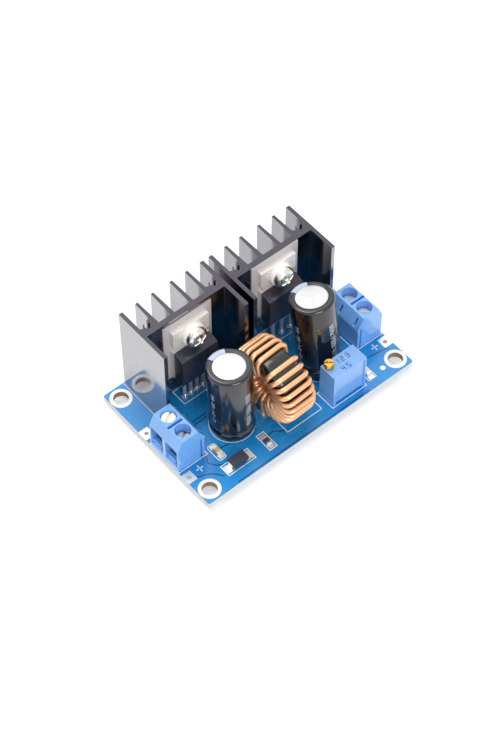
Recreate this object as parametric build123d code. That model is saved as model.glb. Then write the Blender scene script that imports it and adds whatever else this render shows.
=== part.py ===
from build123d import *
import os
from math import cos, radians, sin

# Step-down (buck) converter module, in millimetres.
# The origin is the middle of the board, level with the tips of the solder joints under it.
# +X runs along the board towards the output terminals and +Y towards the fins.

# Circuit board
board_length = 60.0
board_width = 37.6
board_thickness = 1.6
board_corner_radius = 0.5
solder_height = 1.2
board_top = solder_height + board_thickness
pad_thickness = 0.05
drill_sides = 6
drill_clearance = 0.15

# How many flat sides the round forms have
core_sides = 32
large_sides = 20
medium_sides = 16
small_sides = 12
lead_sides = 8

# Mounting holes and their tinned rings
mount_hole_radius = 1.8
mount_ring_radius = 2.6
mount_inset_x = 2.7
mount_inset_y = 3.1

# Extruded heatsinks
sink_middle_x = 12.45
sink_height = 25.0
sink_standoff = 0.4
sink_back_inset = 0.4
sink_front = 2.8
sink_channel_depth = 7.0
sink_base_thickness = 1.4
sink_wall_thickness = 1.0
fin_pitch = 4.3
middle_fin_pitch = 5.2
fin_root_thickness = 1.1
fin_tip_thickness = 0.7
pin_channel_radius = 0.75
pin_channel_depth = 2.2
pin_channel_mouth = 1.0
pin_channel_from_fin = 1.3
lip_height = 3.0
lip_valley_height = 2.2
lip_valley_width = 0.45
sink_pin_clearance = 0.03
sink_pin_grip = 9.0

# Power devices with a screw tab
device_width = 10.0
device_length = 15.7
device_depth = 4.5
tab_thickness = 1.3
tab_hole_radius = 1.85
tab_hole_inset = 2.8
tab_notch_depth = 0.6
tab_notch_height = 1.8
body_height = 9.2
body_top_slope = 0.9
body_draft = 0.3
regulator_lift = 6.7
rectifier_lift = 7.6
regulator_lead_count = 5
regulator_lead_pitch = 1.75
rectifier_lead_count = 3
rectifier_lead_pitch = 2.54
device_lead_width = 0.8
device_lead_thickness = 0.5
device_lead_setback = 2.6
lead_shoulder_width = 1.4
lead_shoulder_height = 2.2

# Insulating pad, bush and clamp screw
insulator_width = 13.4
insulator_height = 18.6
insulator_thickness = 0.25
insulator_above_tab = 1.9
bush_flange_radius = 2.95
bush_flange_thickness = 1.4
bush_edge_radius = 0.5
bush_shoulder_gap = 0.05
clamp_screw_radius = 1.45
clamp_screw_clearance = 0.05
clamp_head_radius = 2.6
clamp_head_height = 1.9
clamp_head_rim = 0.7
clamp_head_crown = ((0.82, 0.6), (0.45, 1.0))
clamp_screw_end = 1.5
recess_width = 0.75
recess_length = 3.0
recess_depth = 1.1
recess_angle = 25.0

# Electrolytic capacitors
capacitor_radius = 5.2
capacitor_height = 20.8
sleeve_thickness = 0.2
sleeve_top_opening = 3.65
sleeve_bottom_opening = 4.6
sleeve_edge_radius = 0.7
sleeve_edge_middle = 0.3
crimp_height = 2.2
crimp_half_width = 0.7
crimp_depth = 0.35
vent_width = 0.25
vent_length = 3.1
vent_depth = 0.1
vent_arms = 3
seal_radius = 4.3
seal_thickness = 1.4
capacitor_lead_radius = 0.3
capacitor_lead_spacing = 5.0
capacitor_seat_gap = 0.1
input_capacitor_place = (-12.5, -5.6)
input_capacitor_lean = (-1.65, -0.7)
output_capacitor_place = (13.2, -5.6)
output_capacitor_lean = (-9.1, -0.75)

# Ring-core inductor, standing on its edge
inductor_place = (-2.25, -7.8)
inductor_lean = -4.4
inductor_gap = 0.5
core_outer_radius = 8.8
core_inner_radius = 4.8
core_width = 6.6
core_edge_chamfer = 0.85
wire_radius = 0.47
wire_clearance = 0.08
wire_bend_cut = 1.15
wire_sides = 6
first_turn_angle = -163.0
far_turns = 13
far_turn_pitch = 13.3
gap_angle = 25.5
near_turns = 12
near_turn_pitch = 13.0

# Multi-turn trimmer
trimmer_place = (12.35, -14.2)
trimmer_length = 9.5
trimmer_width = 4.8
trimmer_height = 10.0
trimmer_foot = 0.3
trimmer_foot_length = 0.9
trimmer_wall = 0.6
trimmer_roof = 0.8
trimmer_relief_depth = 0.3
trimmer_relief_edge = 0.8
trimmer_relief_corner = 1.6
trimmer_screw_inset_x = 1.35
trimmer_screw_inset_y = 1.25
trimmer_head_radius = 1.1
trimmer_head_height = 1.65
trimmer_head_slot = 0.4
trimmer_head_slot_depth = 0.6
trimmer_head_slot_angle = -40.0
trimmer_neck_radius = 0.7
trimmer_worm_radius = 0.6
running_clearance = 0.05
rotor_thickness = 0.9
rotor_wall_gap = 0.1
rotor_shift = 0.2
rotor_hub_radius = 0.8
wiper_width = 0.6
wiper_length = 1.8
element_thickness = 0.6
element_gap = 0.6
element_side_gap = 0.3
element_bottom = 1.5
trimmer_pin_radius = 0.25
trimmer_pin_pitch = 2.54

# Screw terminals
terminal_middle_y = -3.05
terminal_edge_inset = 0.25
terminal_depth = 7.65
terminal_height = 10.05
pole_pitch = 5.0
pole_count = 2
terminal_front_slope = 1.35
terminal_front_drop = 2.95
terminal_back_slope = 1.85
terminal_back_drop = 3.15
terminal_back_step = 0.3
terminal_back_step_height = 6.3
terminal_floor = 1.1
entry_width = 4.0
entry_height = 7.0
entry_depth = 6.2
sill_height = 1.1
sill_thickness = 1.0
sill_setback = 0.9
sill_gap = 0.9
screw_hole_radius = 1.8
screw_hole_inset = 3.5
top_slot_width = 0.6
top_slot_length = 3.9
top_slot_depth = 1.5
end_groove_width = 0.45
end_groove_depth = 0.6
end_groove_inset = 0.95
end_groove_height = 6.6
back_slot_width = 0.5
back_slot_height = 1.9
back_slot_depth = 0.5
back_slot_offset = 0.9

# Clamps in the terminals
contact_width = 3.6
contact_thickness = 0.5
contact_bridge_thickness = 0.9
contact_bridge_height = 5.9
contact_front = 1.9
contact_length = 4.2
contact_pin_width = 1.0
contact_pin_thickness = 0.8
contact_pin_setback = 3.4
contact_fit = 0.05
clamp_plate_length = 3.4
clamp_plate_width = 3.2
clamp_plate_thickness = 0.5
terminal_head_radius = 1.74
terminal_head_height = 1.2
terminal_shank_radius = 1.25
terminal_bore_radius = 1.3
terminal_slot_width = 0.55
terminal_slot_depth = 0.6
terminal_slot_angle = 35.0
clamp_closed_gap = 0.05
head_closed_gap = 0.1
input_clamp_rises = (0.05, 2.15)
output_clamp_rises = (0.5, 0.25)

# Chip parts on the surface
chip_gap = 0.02
diode_place = (-18.1, -14.35)
diode_body_length = 4.3
diode_body_width = 2.6
diode_body_height = 2.1
diode_body_lift = 0.15
diode_body_taper = 0.25
diode_lead_width = 1.4
diode_lead_thickness = 0.2
diode_lead_height = 1.1
diode_lead_reach = 0.5
chip_length = 2.0
chip_width = 1.25
chip_cap_length = 0.4
resistor_place = (-9.75, -14.15)
resistor_height = 0.5
chip_capacitor_y = -9.25
chip_capacitor_height = 0.9
indicator_place = (19.7, -14.3)
indicator_height = 0.8
surface_pad_width = 1.45
surface_pad_length = 1.3
surface_pad_spacing = 2.9
diode_pad_width = 2.1
diode_pad_length = 2.3
diode_pad_spacing = 5.2

# Wire pads beside the terminals
wire_pad_length = 2.8
wire_pad_width = 2.4
wire_pad_hole_radius = 0.55

# Solder joints
solder_sides = 6
solder_skirt = 0.4
solder_taper = 22.0
solder_fit = 0.01
dome_height = 0.8
dome_taper = 24.0

# Planes and places that several pieces share
sink_back = board_width / 2 - sink_back_inset
sink_depth = sink_back - sink_front
base_front = sink_front + sink_channel_depth
base_back = base_front + sink_base_thickness
sink_bottom = board_top + sink_standoff
inner_fin_offset = middle_fin_pitch / 2
outer_fin_offset = inner_fin_offset + fin_pitch
wall_offset = outer_fin_offset + fin_pitch
tab_back = base_front - insulator_thickness
tab_front = tab_back - tab_thickness
body_front = tab_back - device_depth
device_lead_y = tab_back - device_lead_setback
contact_bridge_top = board_top + contact_bridge_height
trimmer_bottom = board_top + trimmer_foot
ALONG_X = (1, 0, 0)
ALONG_Y = (0, 1, 0)
UP = (0, 0, 1)


def block(x_span, y_span, z_span):
    """A box between two limits on each axis."""
    middle = [(span[0] + span[1]) / 2 for span in (x_span, y_span, z_span)]
    size = [abs(span[1] - span[0]) for span in (x_span, y_span, z_span)]
    return Pos(*middle) * Box(*size)


def rod(x, y, radius, z_span, sides=medium_sides):
    """A round bar standing on end, with its corners on the circle."""
    return Pos(x, y, z_span[0]) * extrude(RegularPolygon(radius, sides), z_span[1] - z_span[0])


def spindle(x, y, radius, z_span):
    """A truly round bar standing on end, for what turns."""
    return Pos(x, y, (z_span[0] + z_span[1]) / 2) * Cylinder(radius, z_span[1] - z_span[0])


def bore(x, y, radius, z_span, sides=medium_sides):
    """The cutter for a hole whose flats lie on the circle, so that a bar of that radius passes."""
    hole = RegularPolygon(radius, sides, major_radius=False)
    return Pos(x, y, z_span[0]) * extrude(hole, z_span[1] - z_span[0])


def prism(face, length, direction):
    """A face drawn out along one of the axes."""
    return extrude(face, length, dir=direction)


def flat_face(corners):
    return Face(Wire.make_polygon(corners))


def skinned(rings):
    """A solid closed by flat faces between rings of corners, each ring joined to the next."""
    faces = [flat_face(rings[0]), flat_face(rings[-1])]
    for lower, upper in zip(rings, rings[1:]):
        for i, corner in enumerate(lower):
            faces.append(flat_face([lower[i - 1], corner, upper[i], upper[i - 1]]))
    return Solid(Shell(faces))


def turned(rings, sides):
    """A form turned about Z, from its radius and height at each change of slope."""
    steps = [radians(360 * i / sides) for i in range(sides)]
    return skinned([
        [Vector(radius * cos(step), radius * sin(step), height) for step in steps]
        for radius, height in rings
    ])


def flat_lead(x, y, width, thickness):
    return (x, y, width, thickness)


def round_lead(x, y, radius):
    return (x, y, 2 * radius, None)


def lead_bar(lead, z_span):
    """The straight bar of a lead, flat or round."""
    x, y, width, thickness = lead
    if thickness is None:
        return rod(x, y, width / 2, z_span, lead_sides)
    return block((x - width / 2, x + width / 2), (y - thickness / 2, y + thickness / 2), z_span)


def lead_passage(lead, clearance, z_span):
    """The cutter for the hole that a lead passes through, wider than the lead all round."""
    x, y, width, thickness = lead
    if thickness is None:
        return bore(x, y, width / 2 + clearance, z_span, lead_sides)
    return lead_bar((x, y, width + 2 * clearance, thickness + 2 * clearance), z_span)


def device_leads(side, count, pitch):
    first = side * sink_middle_x - (count - 1) * pitch / 2
    return [
        flat_lead(first + i * pitch, device_lead_y, device_lead_width, device_lead_thickness)
        for i in range(count)
    ]


def capacitor_leads(place):
    half = capacitor_lead_spacing / 2
    return [round_lead(place[0] + side * half, place[1], capacitor_lead_radius) for side in (-1, 1)]


def trimmer_pin_leads():
    x, y = trimmer_place
    return [round_lead(x + i * trimmer_pin_pitch, y, trimmer_pin_radius) for i in (-1, 0, 1)]


def pole_ys():
    """The middle of each pole along a terminal, from -Y to +Y."""
    first = terminal_middle_y - (pole_count - 1) * pole_pitch / 2
    return [first + i * pole_pitch for i in range(pole_count)]


def terminal_x(depth):
    """The X of a point a given depth in from the wire side of the input terminal."""
    return terminal_edge_inset - board_length / 2 + depth


def terminal_pin_leads(side):
    pin_x = -side * terminal_x(contact_front + contact_pin_setback)
    return [flat_lead(pin_x, y, contact_pin_width, contact_pin_thickness) for y in pole_ys()]


def pin_channels():
    """The two places across a heatsink where a solder pin stands in the extrusion."""
    return [
        -outer_fin_offset - fin_root_thickness / 2 - pin_channel_from_fin,
        wall_offset - sink_wall_thickness / 2 - pin_channel_from_fin,
    ]


def sink_pin_leads(side):
    pin_radius = pin_channel_radius - sink_pin_clearance
    pin_y = base_front + pin_channel_depth
    return [round_lead(side * sink_middle_x + x, pin_y, pin_radius) for x in pin_channels()]


# The wire's path on the inductor
coil_half_width = core_width / 2 + wire_clearance + wire_radius
coil_outer_radius = core_outer_radius + wire_clearance + wire_radius
coil_inner_radius = core_inner_radius - wire_clearance - wire_radius
core_middle_z = board_top + inductor_gap + coil_outer_radius + wire_radius


def core_location():
    """Where the ring core stands: its axis along X, leaning a little to one side."""
    return Pos(*inductor_place, core_middle_z) * Rot(0, inductor_lean, 0)


def turn_angles():
    """The angle of each turn from the top of the ring, towards -Y."""
    far = [first_turn_angle + i * far_turn_pitch for i in range(far_turns)]
    near = [far[-1] + gap_angle + i * near_turn_pitch for i in range(near_turns)]
    return far + near


def outer_span(angle):
    """Across the rim from the -X side to the +X side, as x, radius and angle in the ring's frame."""
    bend_x = coil_half_width - wire_bend_cut
    bend_radius = coil_outer_radius - wire_bend_cut
    return [
        (-coil_half_width, bend_radius, angle),
        (-bend_x, coil_outer_radius, angle),
        (bend_x, coil_outer_radius, angle),
        (coil_half_width, bend_radius, angle),
    ]


def inner_span(angle, next_angle):
    """Back through the bore from the +X side to the -X side, moving on to the next turn."""
    bend_x = coil_half_width - wire_bend_cut
    bend_radius = coil_inner_radius + wire_bend_cut
    return [
        (coil_half_width, bend_radius, angle),
        (bend_x, coil_inner_radius, angle),
        (-bend_x, coil_inner_radius, next_angle),
        (-coil_half_width, bend_radius, next_angle),
    ]


def coil_point(x, radius, angle):
    """A point on a turn, moved from the ring's frame to the module's."""
    turn = radians(angle)
    return (core_location() * Pos(x, -radius * sin(turn), radius * cos(turn))).position


def coil_points():
    """The whole path between the two leads."""
    angles = turn_angles()
    points = inner_span(-180.0, angles[0])
    for i, angle in enumerate(angles):
        following = angles[i + 1] if i + 1 < len(angles) else 180.0
        points += outer_span(angle) + inner_span(angle, following)
    return [coil_point(*point) for point in points]


def coil_lead_places():
    """Where the two ends of the wire pass the board, on the +X side and then on the -X side."""
    places = []
    for side in (1, -1):
        foot = core_location() * Pos(side * coil_half_width, 0, -coil_outer_radius)
        places.append((foot.position.X, foot.position.Y))
    return places


def inductor_leads():
    return [round_lead(x, y, wire_radius) for x, y in coil_lead_places()]


def circuit_board():
    outline = RectangleRounded(board_length, board_width, board_corner_radius)
    board = Pos(0, 0, solder_height) * extrude(outline, board_thickness)
    for x, y in mount_hole_places():
        board -= Pos(x, y, board_top) * Cylinder(mount_hole_radius, 2 * board_top)
    for x, y, width, _ in all_leads():
        board -= bore(x, y, width / 2 + drill_clearance, (0, 2 * board_top), drill_sides)
    for x, y in wire_pad_places():
        board -= bore(x, y, wire_pad_hole_radius, (0, 2 * board_top), lead_sides)
    return board


def all_leads():
    """Every lead that passes through the board."""
    leads = device_leads(-1, regulator_lead_count, regulator_lead_pitch)
    leads += device_leads(1, rectifier_lead_count, rectifier_lead_pitch)
    leads += capacitor_leads(input_capacitor_place) + capacitor_leads(output_capacitor_place)
    leads += inductor_leads() + trimmer_pin_leads()
    for side in (-1, 1):
        leads += terminal_pin_leads(side) + sink_pin_leads(side)
    return leads


def mount_hole_places():
    x = board_length / 2 - mount_inset_x
    y = board_width / 2 - mount_inset_y
    return [(i * x, j * y) for i in (-1, 1) for j in (-1, 1)]


def wire_pad_places():
    """Beside each terminal: one halfway to the mounting ring, and one as far off its other end."""
    x = board_length / 2 - wire_pad_width / 2
    ring_edge = mount_inset_y + mount_ring_radius - board_width / 2
    offset = (terminal_middle_y + pole_count * pole_pitch / 2 - ring_edge) / 2
    return [(i * x, terminal_middle_y + j * offset) for i in (-1, 1) for j in (-1, 1)]


def chip_capacitor_place():
    """Halfway between the input terminal's back and the input capacitor."""
    capacitor_edge = input_capacitor_place[0] - capacitor_radius
    return ((terminal_x(terminal_depth) + capacitor_edge) / 2, chip_capacitor_y)


def on_top(places, pad):
    """A thin pad on the top of the board at each place."""
    return [Pos(x, y, board_top) * extrude(pad, pad_thickness) for x, y in places]


def mounting_hole_rings():
    hole = RegularPolygon(mount_hole_radius, medium_sides, major_radius=False)
    return on_top(mount_hole_places(), RegularPolygon(mount_ring_radius, medium_sides) - hole)


def wire_pads():
    hole = RegularPolygon(wire_pad_hole_radius, lead_sides, major_radius=False)
    return on_top(wire_pad_places(), Rectangle(wire_pad_width, wire_pad_length) - hole)


def fin_profile(offset):
    root = fin_root_thickness / 2
    tip = fin_tip_thickness / 2
    return Polygon(
        (offset - root, base_front),
        (offset + root, base_front),
        (offset + tip, sink_back),
        (offset - tip, sink_back),
        align=None,
    )


def pin_channel_profile(channel_x):
    """The lips that hold a solder pin between two fins, with the round channel cut out."""
    right = channel_x + pin_channel_from_fin + sink_wall_thickness / 4
    left = right - fin_pitch + sink_wall_thickness / 2
    valley = base_front + lip_valley_height
    lips = Polygon(
        (left, base_front),
        (right, base_front),
        (right, base_front + lip_height + 2 * lip_valley_width),
        (channel_x + pin_channel_radius, base_front + lip_height + lip_valley_width),
        (channel_x - pin_channel_radius, base_front + lip_height),
        (left + 2 * lip_valley_width, valley),
        (left, valley + lip_valley_width),
        align=None,
    )
    channel_y = base_front + pin_channel_depth
    channel = RegularPolygon(pin_channel_radius, small_sides, major_radius=False)
    lips -= Pos(channel_x, channel_y) * channel
    lips -= Pos(channel_x, channel_y + sink_depth / 2) * Rectangle(pin_channel_mouth, sink_depth)
    return lips


def heatsink_profile():
    """The extrusion's section: side walls, base, tapered fins and two pin channels."""
    profile = Pos(0, (base_front + base_back) / 2) * Rectangle(2 * wall_offset, sink_base_thickness)
    for side in (-1, 1):
        wall = Rectangle(sink_wall_thickness, sink_depth)
        profile += Pos(side * wall_offset, (sink_front + sink_back) / 2) * wall
    for offset in (-outer_fin_offset, -inner_fin_offset, inner_fin_offset, outer_fin_offset):
        profile += fin_profile(offset)
    for channel_x in pin_channels():
        profile += pin_channel_profile(channel_x)
    return profile


def device_hole_z(lift):
    return board_top + lift + device_length - tab_hole_inset


def facing_front(x, y, z):
    """A frame whose +Z points out of the tab, along -Y."""
    return Pos(x, y, z) * Rot(90, 0, 0)


def heatsink(side, lift):
    x = side * sink_middle_x
    sink = Pos(x, 0, sink_bottom) * prism(heatsink_profile(), sink_height, UP)
    reach = 2 * sink_base_thickness
    hole = bore(0, 0, clamp_screw_radius + clamp_screw_clearance, (-reach, reach))
    return sink - facing_front(x, base_front, device_hole_z(lift)) * hole


def sink_pins(side):
    return [lead_bar(lead, (solder_height, sink_bottom + sink_pin_grip)) for lead in sink_pin_leads(side)]


def device_tab(side, lift):
    x = side * sink_middle_x
    half = device_width / 2
    bottom = board_top + lift
    tab = block((x - half, x + half), (tab_front, tab_back), (bottom, bottom + device_length))
    notch_bottom = bottom + body_height
    for edge in (-half, half):
        notch = (x + edge - tab_notch_depth, x + edge + tab_notch_depth)
        tab -= block(notch, (body_front, base_front), (notch_bottom, notch_bottom + tab_notch_height))
    return tab - facing_front(x, tab_back, device_hole_z(lift)) * tab_hole()


def tab_hole():
    """The cutter for the screw hole through a tab and the pad behind it."""
    reach = tab_thickness + insulator_thickness
    return bore(0, 0, tab_hole_radius, (-reach, 2 * reach))


def device_body(side, lift):
    """The moulded body: its top slopes down to the front and its foot is drafted."""
    bottom = board_top + lift
    outline = Polygon(
        (tab_front, bottom),
        (body_front + body_draft, bottom),
        (body_front, bottom + body_height / 2),
        (body_front + body_draft, bottom + body_height - body_top_slope),
        (tab_front, bottom + body_height),
        align=None,
    )
    x = side * sink_middle_x
    return Pos(x - device_width / 2, 0, 0) * prism(Plane.YZ * outline, device_width, ALONG_X)


def regulator_leads():
    leads = device_leads(-1, regulator_lead_count, regulator_lead_pitch)
    return [lead_bar(lead, (solder_height, board_top + regulator_lift)) for lead in leads]


def rectifier_leads():
    """Three leads, each with a wide shoulder under the body."""
    bars = []
    top = board_top + rectifier_lift
    for lead in device_leads(1, rectifier_lead_count, rectifier_lead_pitch):
        shoulder = flat_lead(lead[0], lead[1], lead_shoulder_width, device_lead_thickness)
        bar = lead_bar(lead, (solder_height, top))
        bars.append(bar + lead_bar(shoulder, (top - lead_shoulder_height, top)))
    return bars


def insulating_pad(side, lift):
    x = side * sink_middle_x
    top = board_top + lift + device_length + insulator_above_tab
    half = insulator_width / 2
    pad = block((x - half, x + half), (tab_back, base_front), (top - insulator_height, top))
    return pad - facing_front(x, base_front, device_hole_z(lift)) * tab_hole()


def insulating_bush(side, lift):
    """A shouldered ring: its sleeve lines the tab's hole and its flange lies under the screw head."""
    bush = turned([
        (bush_flange_radius, 0),
        (bush_flange_radius, bush_flange_thickness - bush_edge_radius),
        (bush_flange_radius - bush_edge_radius, bush_flange_thickness),
    ], medium_sides)
    bush += rod(0, 0, tab_hole_radius - bush_shoulder_gap, (-tab_thickness, 0))
    hole_radius = clamp_screw_radius + clamp_screw_clearance
    bush -= bore(0, 0, hole_radius, (-tab_thickness, bush_flange_thickness))
    return facing_front(side * sink_middle_x, tab_front, device_hole_z(lift)) * bush


def clamp_screw(side, lift):
    """A pan-head screw with a cross recess, through bush, tab, pad and heatsink."""
    seat = bush_flange_thickness
    rim_top = seat + clamp_head_rim
    crown_height = clamp_head_height - clamp_head_rim
    rings = [(clamp_head_radius, seat), (clamp_head_radius, rim_top)]
    for share, rise in clamp_head_crown:
        rings.append((share * clamp_head_radius, rim_top + rise * crown_height))
    tip = tab_front - base_back - clamp_screw_end
    screw = turned(rings, medium_sides) + rod(0, 0, clamp_screw_radius, (tip, seat), small_sides)
    floor = seat + clamp_head_height - recess_depth
    half = recess_length / 2
    for angle in (recess_angle, recess_angle + 90):
        arm = block((-half, half), (-recess_width / 2, recess_width / 2), (floor, floor + recess_length))
        screw -= Rot(0, 0, angle) * arm
    return facing_front(side * sink_middle_x, tab_front, device_hole_z(lift)) * screw


def capacitor_location(place, lean):
    """Where a capacitor stands; a leaning one rests on the low side of its rim."""
    drop = capacitor_radius * sin(radians(abs(lean[0]) + abs(lean[1])))
    return Pos(*place, board_top + capacitor_seat_gap + drop) * Rot(lean[0], lean[1], 0)


def crimped_form(radius, bottom, top):
    """The form of the crimped can at a given radius."""
    edge = sleeve_edge_radius
    middle = sleeve_edge_middle * edge
    return turned([
        (radius, bottom),
        (radius, crimp_height - crimp_half_width),
        (radius - crimp_depth, crimp_height),
        (radius, crimp_height + crimp_half_width),
        (radius, top - edge),
        (radius - middle, top - middle),
        (radius - edge, top),
    ], large_sides)


def capacitor_shell():
    inner_radius = capacitor_radius - sleeve_thickness
    return crimped_form(inner_radius, sleeve_thickness, capacitor_height - sleeve_thickness)


def capacitor_can(location):
    can = capacitor_shell()
    can -= rod(0, 0, seal_radius, (0, sleeve_thickness + seal_thickness), large_sides)
    top = capacitor_height - sleeve_thickness
    half = vent_width / 2
    groove = block((0, vent_length), (-half, half), (top - vent_depth, top + vent_depth))
    for arm in range(vent_arms):
        can -= Rot(0, 0, arm * 360 / vent_arms) * groove
    return location * can


def capacitor_sleeve(location):
    sleeve = crimped_form(capacitor_radius, 0, capacitor_height) - capacitor_shell()
    sleeve -= rod(0, 0, sleeve_top_opening, (capacitor_height / 2, 2 * capacitor_height), large_sides)
    sleeve -= rod(0, 0, sleeve_bottom_opening, (-capacitor_height, capacitor_height / 2), large_sides)
    return location * sleeve


def capacitor_seal(location):
    seal_span = (sleeve_thickness, sleeve_thickness + seal_thickness)
    return location * rod(0, 0, seal_radius, seal_span, large_sides)


def capacitor_lead_pair(place, location):
    """Two straight leads, trimmed off at the sloping face of the seal."""
    seal_middle = sleeve_thickness + seal_thickness / 2
    above = location * rod(0, 0, capacitor_radius, (seal_middle, capacitor_height))
    reach = board_top + capacitor_height / 2
    bars = [lead_bar(lead, (solder_height, reach)) for lead in capacitor_leads(place)]
    return [bar - capacitor_seal(location) - above for bar in bars]


def bevelled_ring_outline(radius, cut):
    """Radius and height up the side of a disc whose two edges are cut back, outwards or inwards."""
    half = core_width / 2
    flank = half - core_edge_chamfer
    return [(radius + cut, -half), (radius, -flank), (radius, flank), (radius + cut, half)]


def inductor_core():
    disc = turned(bevelled_ring_outline(core_outer_radius, -core_edge_chamfer), core_sides)
    hole = turned(bevelled_ring_outline(core_inner_radius, core_edge_chamfer), core_sides)
    return core_location() * Rot(0, 90, 0) * (disc - hole)


def wire_path():
    """The wire's middle line, from one end below the board round the core to the other."""
    start, end = coil_lead_places()
    bend_z = board_top + inductor_gap
    leads_in = [Vector(*start, solder_height), Vector(*start, bend_z)]
    leads_out = [Vector(*end, bend_z), Vector(*end, solder_height)]
    return leads_in + coil_points() + leads_out


def mitred_sections(path):
    """The wire's corners at each bend of its path, in the plane where two straight stretches meet."""
    steps = [radians(360 * i / wire_sides) for i in range(wire_sides)]
    corners = [path[0] + Vector(-sin(step), cos(step), 0) * wire_radius for step in steps]
    sections = [corners]
    directions = [(after - before).normalized() for before, after in zip(path, path[1:])]
    directions.append(directions[-1])
    for point, arriving, leaving in zip(path[1:], directions, directions[1:]):
        normal = (arriving + leaving).normalized()
        slope = arriving.dot(normal)
        corners = [at + arriving * ((point - at).dot(normal) / slope) for at in corners]
        sections.append(corners)
    return sections


def inductor_winding():
    """One wire, turn by turn, as a single body with mitred bends."""
    return skinned(mitred_sections(wire_path()))


def trimmer_frame():
    return Pos(*trimmer_place, trimmer_bottom)


def trimmer_screw_place():
    x = trimmer_screw_inset_x - trimmer_length / 2
    y = trimmer_width / 2 - trimmer_screw_inset_y
    return x, y


def trimmer_housing():
    """A thin box, open below, with a relieved front and a boss for the rotor."""
    half_x = trimmer_length / 2
    half_y = trimmer_width / 2
    case = block((-half_x, half_x), (-half_y, half_y), (0, trimmer_height))
    for side in (-1, 1):
        foot_x = side * (half_x - trimmer_foot_length / 2)
        case += Pos(foot_x, 0, -trimmer_foot / 2) * Box(trimmer_foot_length, trimmer_width, trimmer_foot)
    inner_x = half_x - trimmer_wall
    inner_y = half_y - trimmer_wall
    inside_top = trimmer_height - trimmer_roof
    case -= block((-inner_x, inner_x), (-inner_y, inner_y), (-trimmer_foot, inside_top))
    left = trimmer_relief_edge - half_x
    right = half_x - trimmer_relief_edge / 2
    relief = Polygon(
        (left, 0),
        (left, trimmer_height - trimmer_relief_edge - trimmer_relief_corner),
        (left + trimmer_relief_corner, trimmer_height - trimmer_relief_edge / 2),
        (right, trimmer_height - trimmer_relief_edge / 2),
        (right, 0),
        align=None,
    )
    case -= Pos(0, -half_y, 0) * prism(Plane.XZ * relief, trimmer_relief_depth, ALONG_Y)
    screw_x, screw_y = trimmer_screw_place()
    roof_span = (inside_top / 2, 2 * trimmer_height)
    case -= bore(screw_x, screw_y, trimmer_neck_radius + running_clearance, roof_span)
    hub_x, hub_z = rotor_place()
    hub_length = rotor_wall_gap + rotor_thickness
    hub = rod(0, 0, rotor_hub_radius - running_clearance, (0, hub_length), small_sides)
    case += Pos(hub_x, inner_y, hub_z) * Rot(90, 0, 0) * hub
    return trimmer_frame() * case


def rotor_radius():
    screw_x, _ = trimmer_screw_place()
    return rotor_shift - screw_x - trimmer_worm_radius - running_clearance


def rotor_place():
    return rotor_shift, (trimmer_height - trimmer_roof) / 2


def rotor_span():
    """The rotor's two faces along Y, in the trimmer's frame."""
    back = trimmer_width / 2 - trimmer_wall - rotor_wall_gap
    return back - rotor_thickness, back


def trimmer_screw():
    """A slotted head on a neck, with the worm inside the housing."""
    screw_x, screw_y = trimmer_screw_place()
    inside_top = trimmer_height - trimmer_roof
    head_bottom = trimmer_height + running_clearance
    head_top = trimmer_height + trimmer_head_height
    worm_end = element_bottom + running_clearance
    screw = rod(screw_x, screw_y, trimmer_head_radius, (head_bottom, head_top))
    neck_bottom = inside_top - running_clearance
    screw += spindle(screw_x, screw_y, trimmer_neck_radius, (neck_bottom, head_bottom))
    screw += rod(screw_x, screw_y, trimmer_worm_radius, (worm_end, neck_bottom), small_sides)
    slot = Box(2 * trimmer_head_radius, trimmer_head_slot, 2 * trimmer_head_slot_depth)
    screw -= Pos(screw_x, screw_y, head_top) * Rot(0, 0, trimmer_head_slot_angle) * slot
    return trimmer_frame() * screw


def trimmer_rotor():
    hub_x, hub_z = rotor_place()
    front, back = rotor_span()
    thickness = (0, back - front)
    wheel = rod(0, 0, rotor_radius(), thickness, large_sides)
    wheel -= spindle(0, 0, rotor_hub_radius, thickness)
    return trimmer_frame() * Pos(hub_x, back, hub_z) * Rot(90, 0, 0) * wheel


def trimmer_wiper():
    """The spring finger on the rotor that bears on the resistive track."""
    hub_x, hub_z = rotor_place()
    front, _ = rotor_span()
    reach = (rotor_hub_radius + rotor_radius()) / 2
    track = front - element_gap + running_clearance
    bottom = hub_z - reach - wiper_length / 2
    half = wiper_width / 2
    finger = block((hub_x - half, hub_x + half), (track, front), (bottom, bottom + wiper_length))
    return trimmer_frame() * finger


def trimmer_element():
    front, _ = rotor_span()
    half = trimmer_length / 2 - trimmer_wall - element_side_gap
    back = front - element_gap
    top = trimmer_height - trimmer_roof
    plate = block((-half, half), (back - element_thickness, back), (element_bottom, top))
    return trimmer_frame() * plate


def trimmer_base():
    """The sealing compound that closes the foot of the housing."""
    half_x = trimmer_length / 2 - trimmer_wall
    half_y = trimmer_width / 2 - trimmer_wall
    return trimmer_frame() * block((-half_x, half_x), (-half_y, half_y), (0, element_bottom))


def trimmer_pins():
    """Three pins that leave the sealed foot, under the element."""
    return [lead_bar(lead, (solder_height, trimmer_bottom)) for lead in trimmer_pin_leads()]


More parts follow.
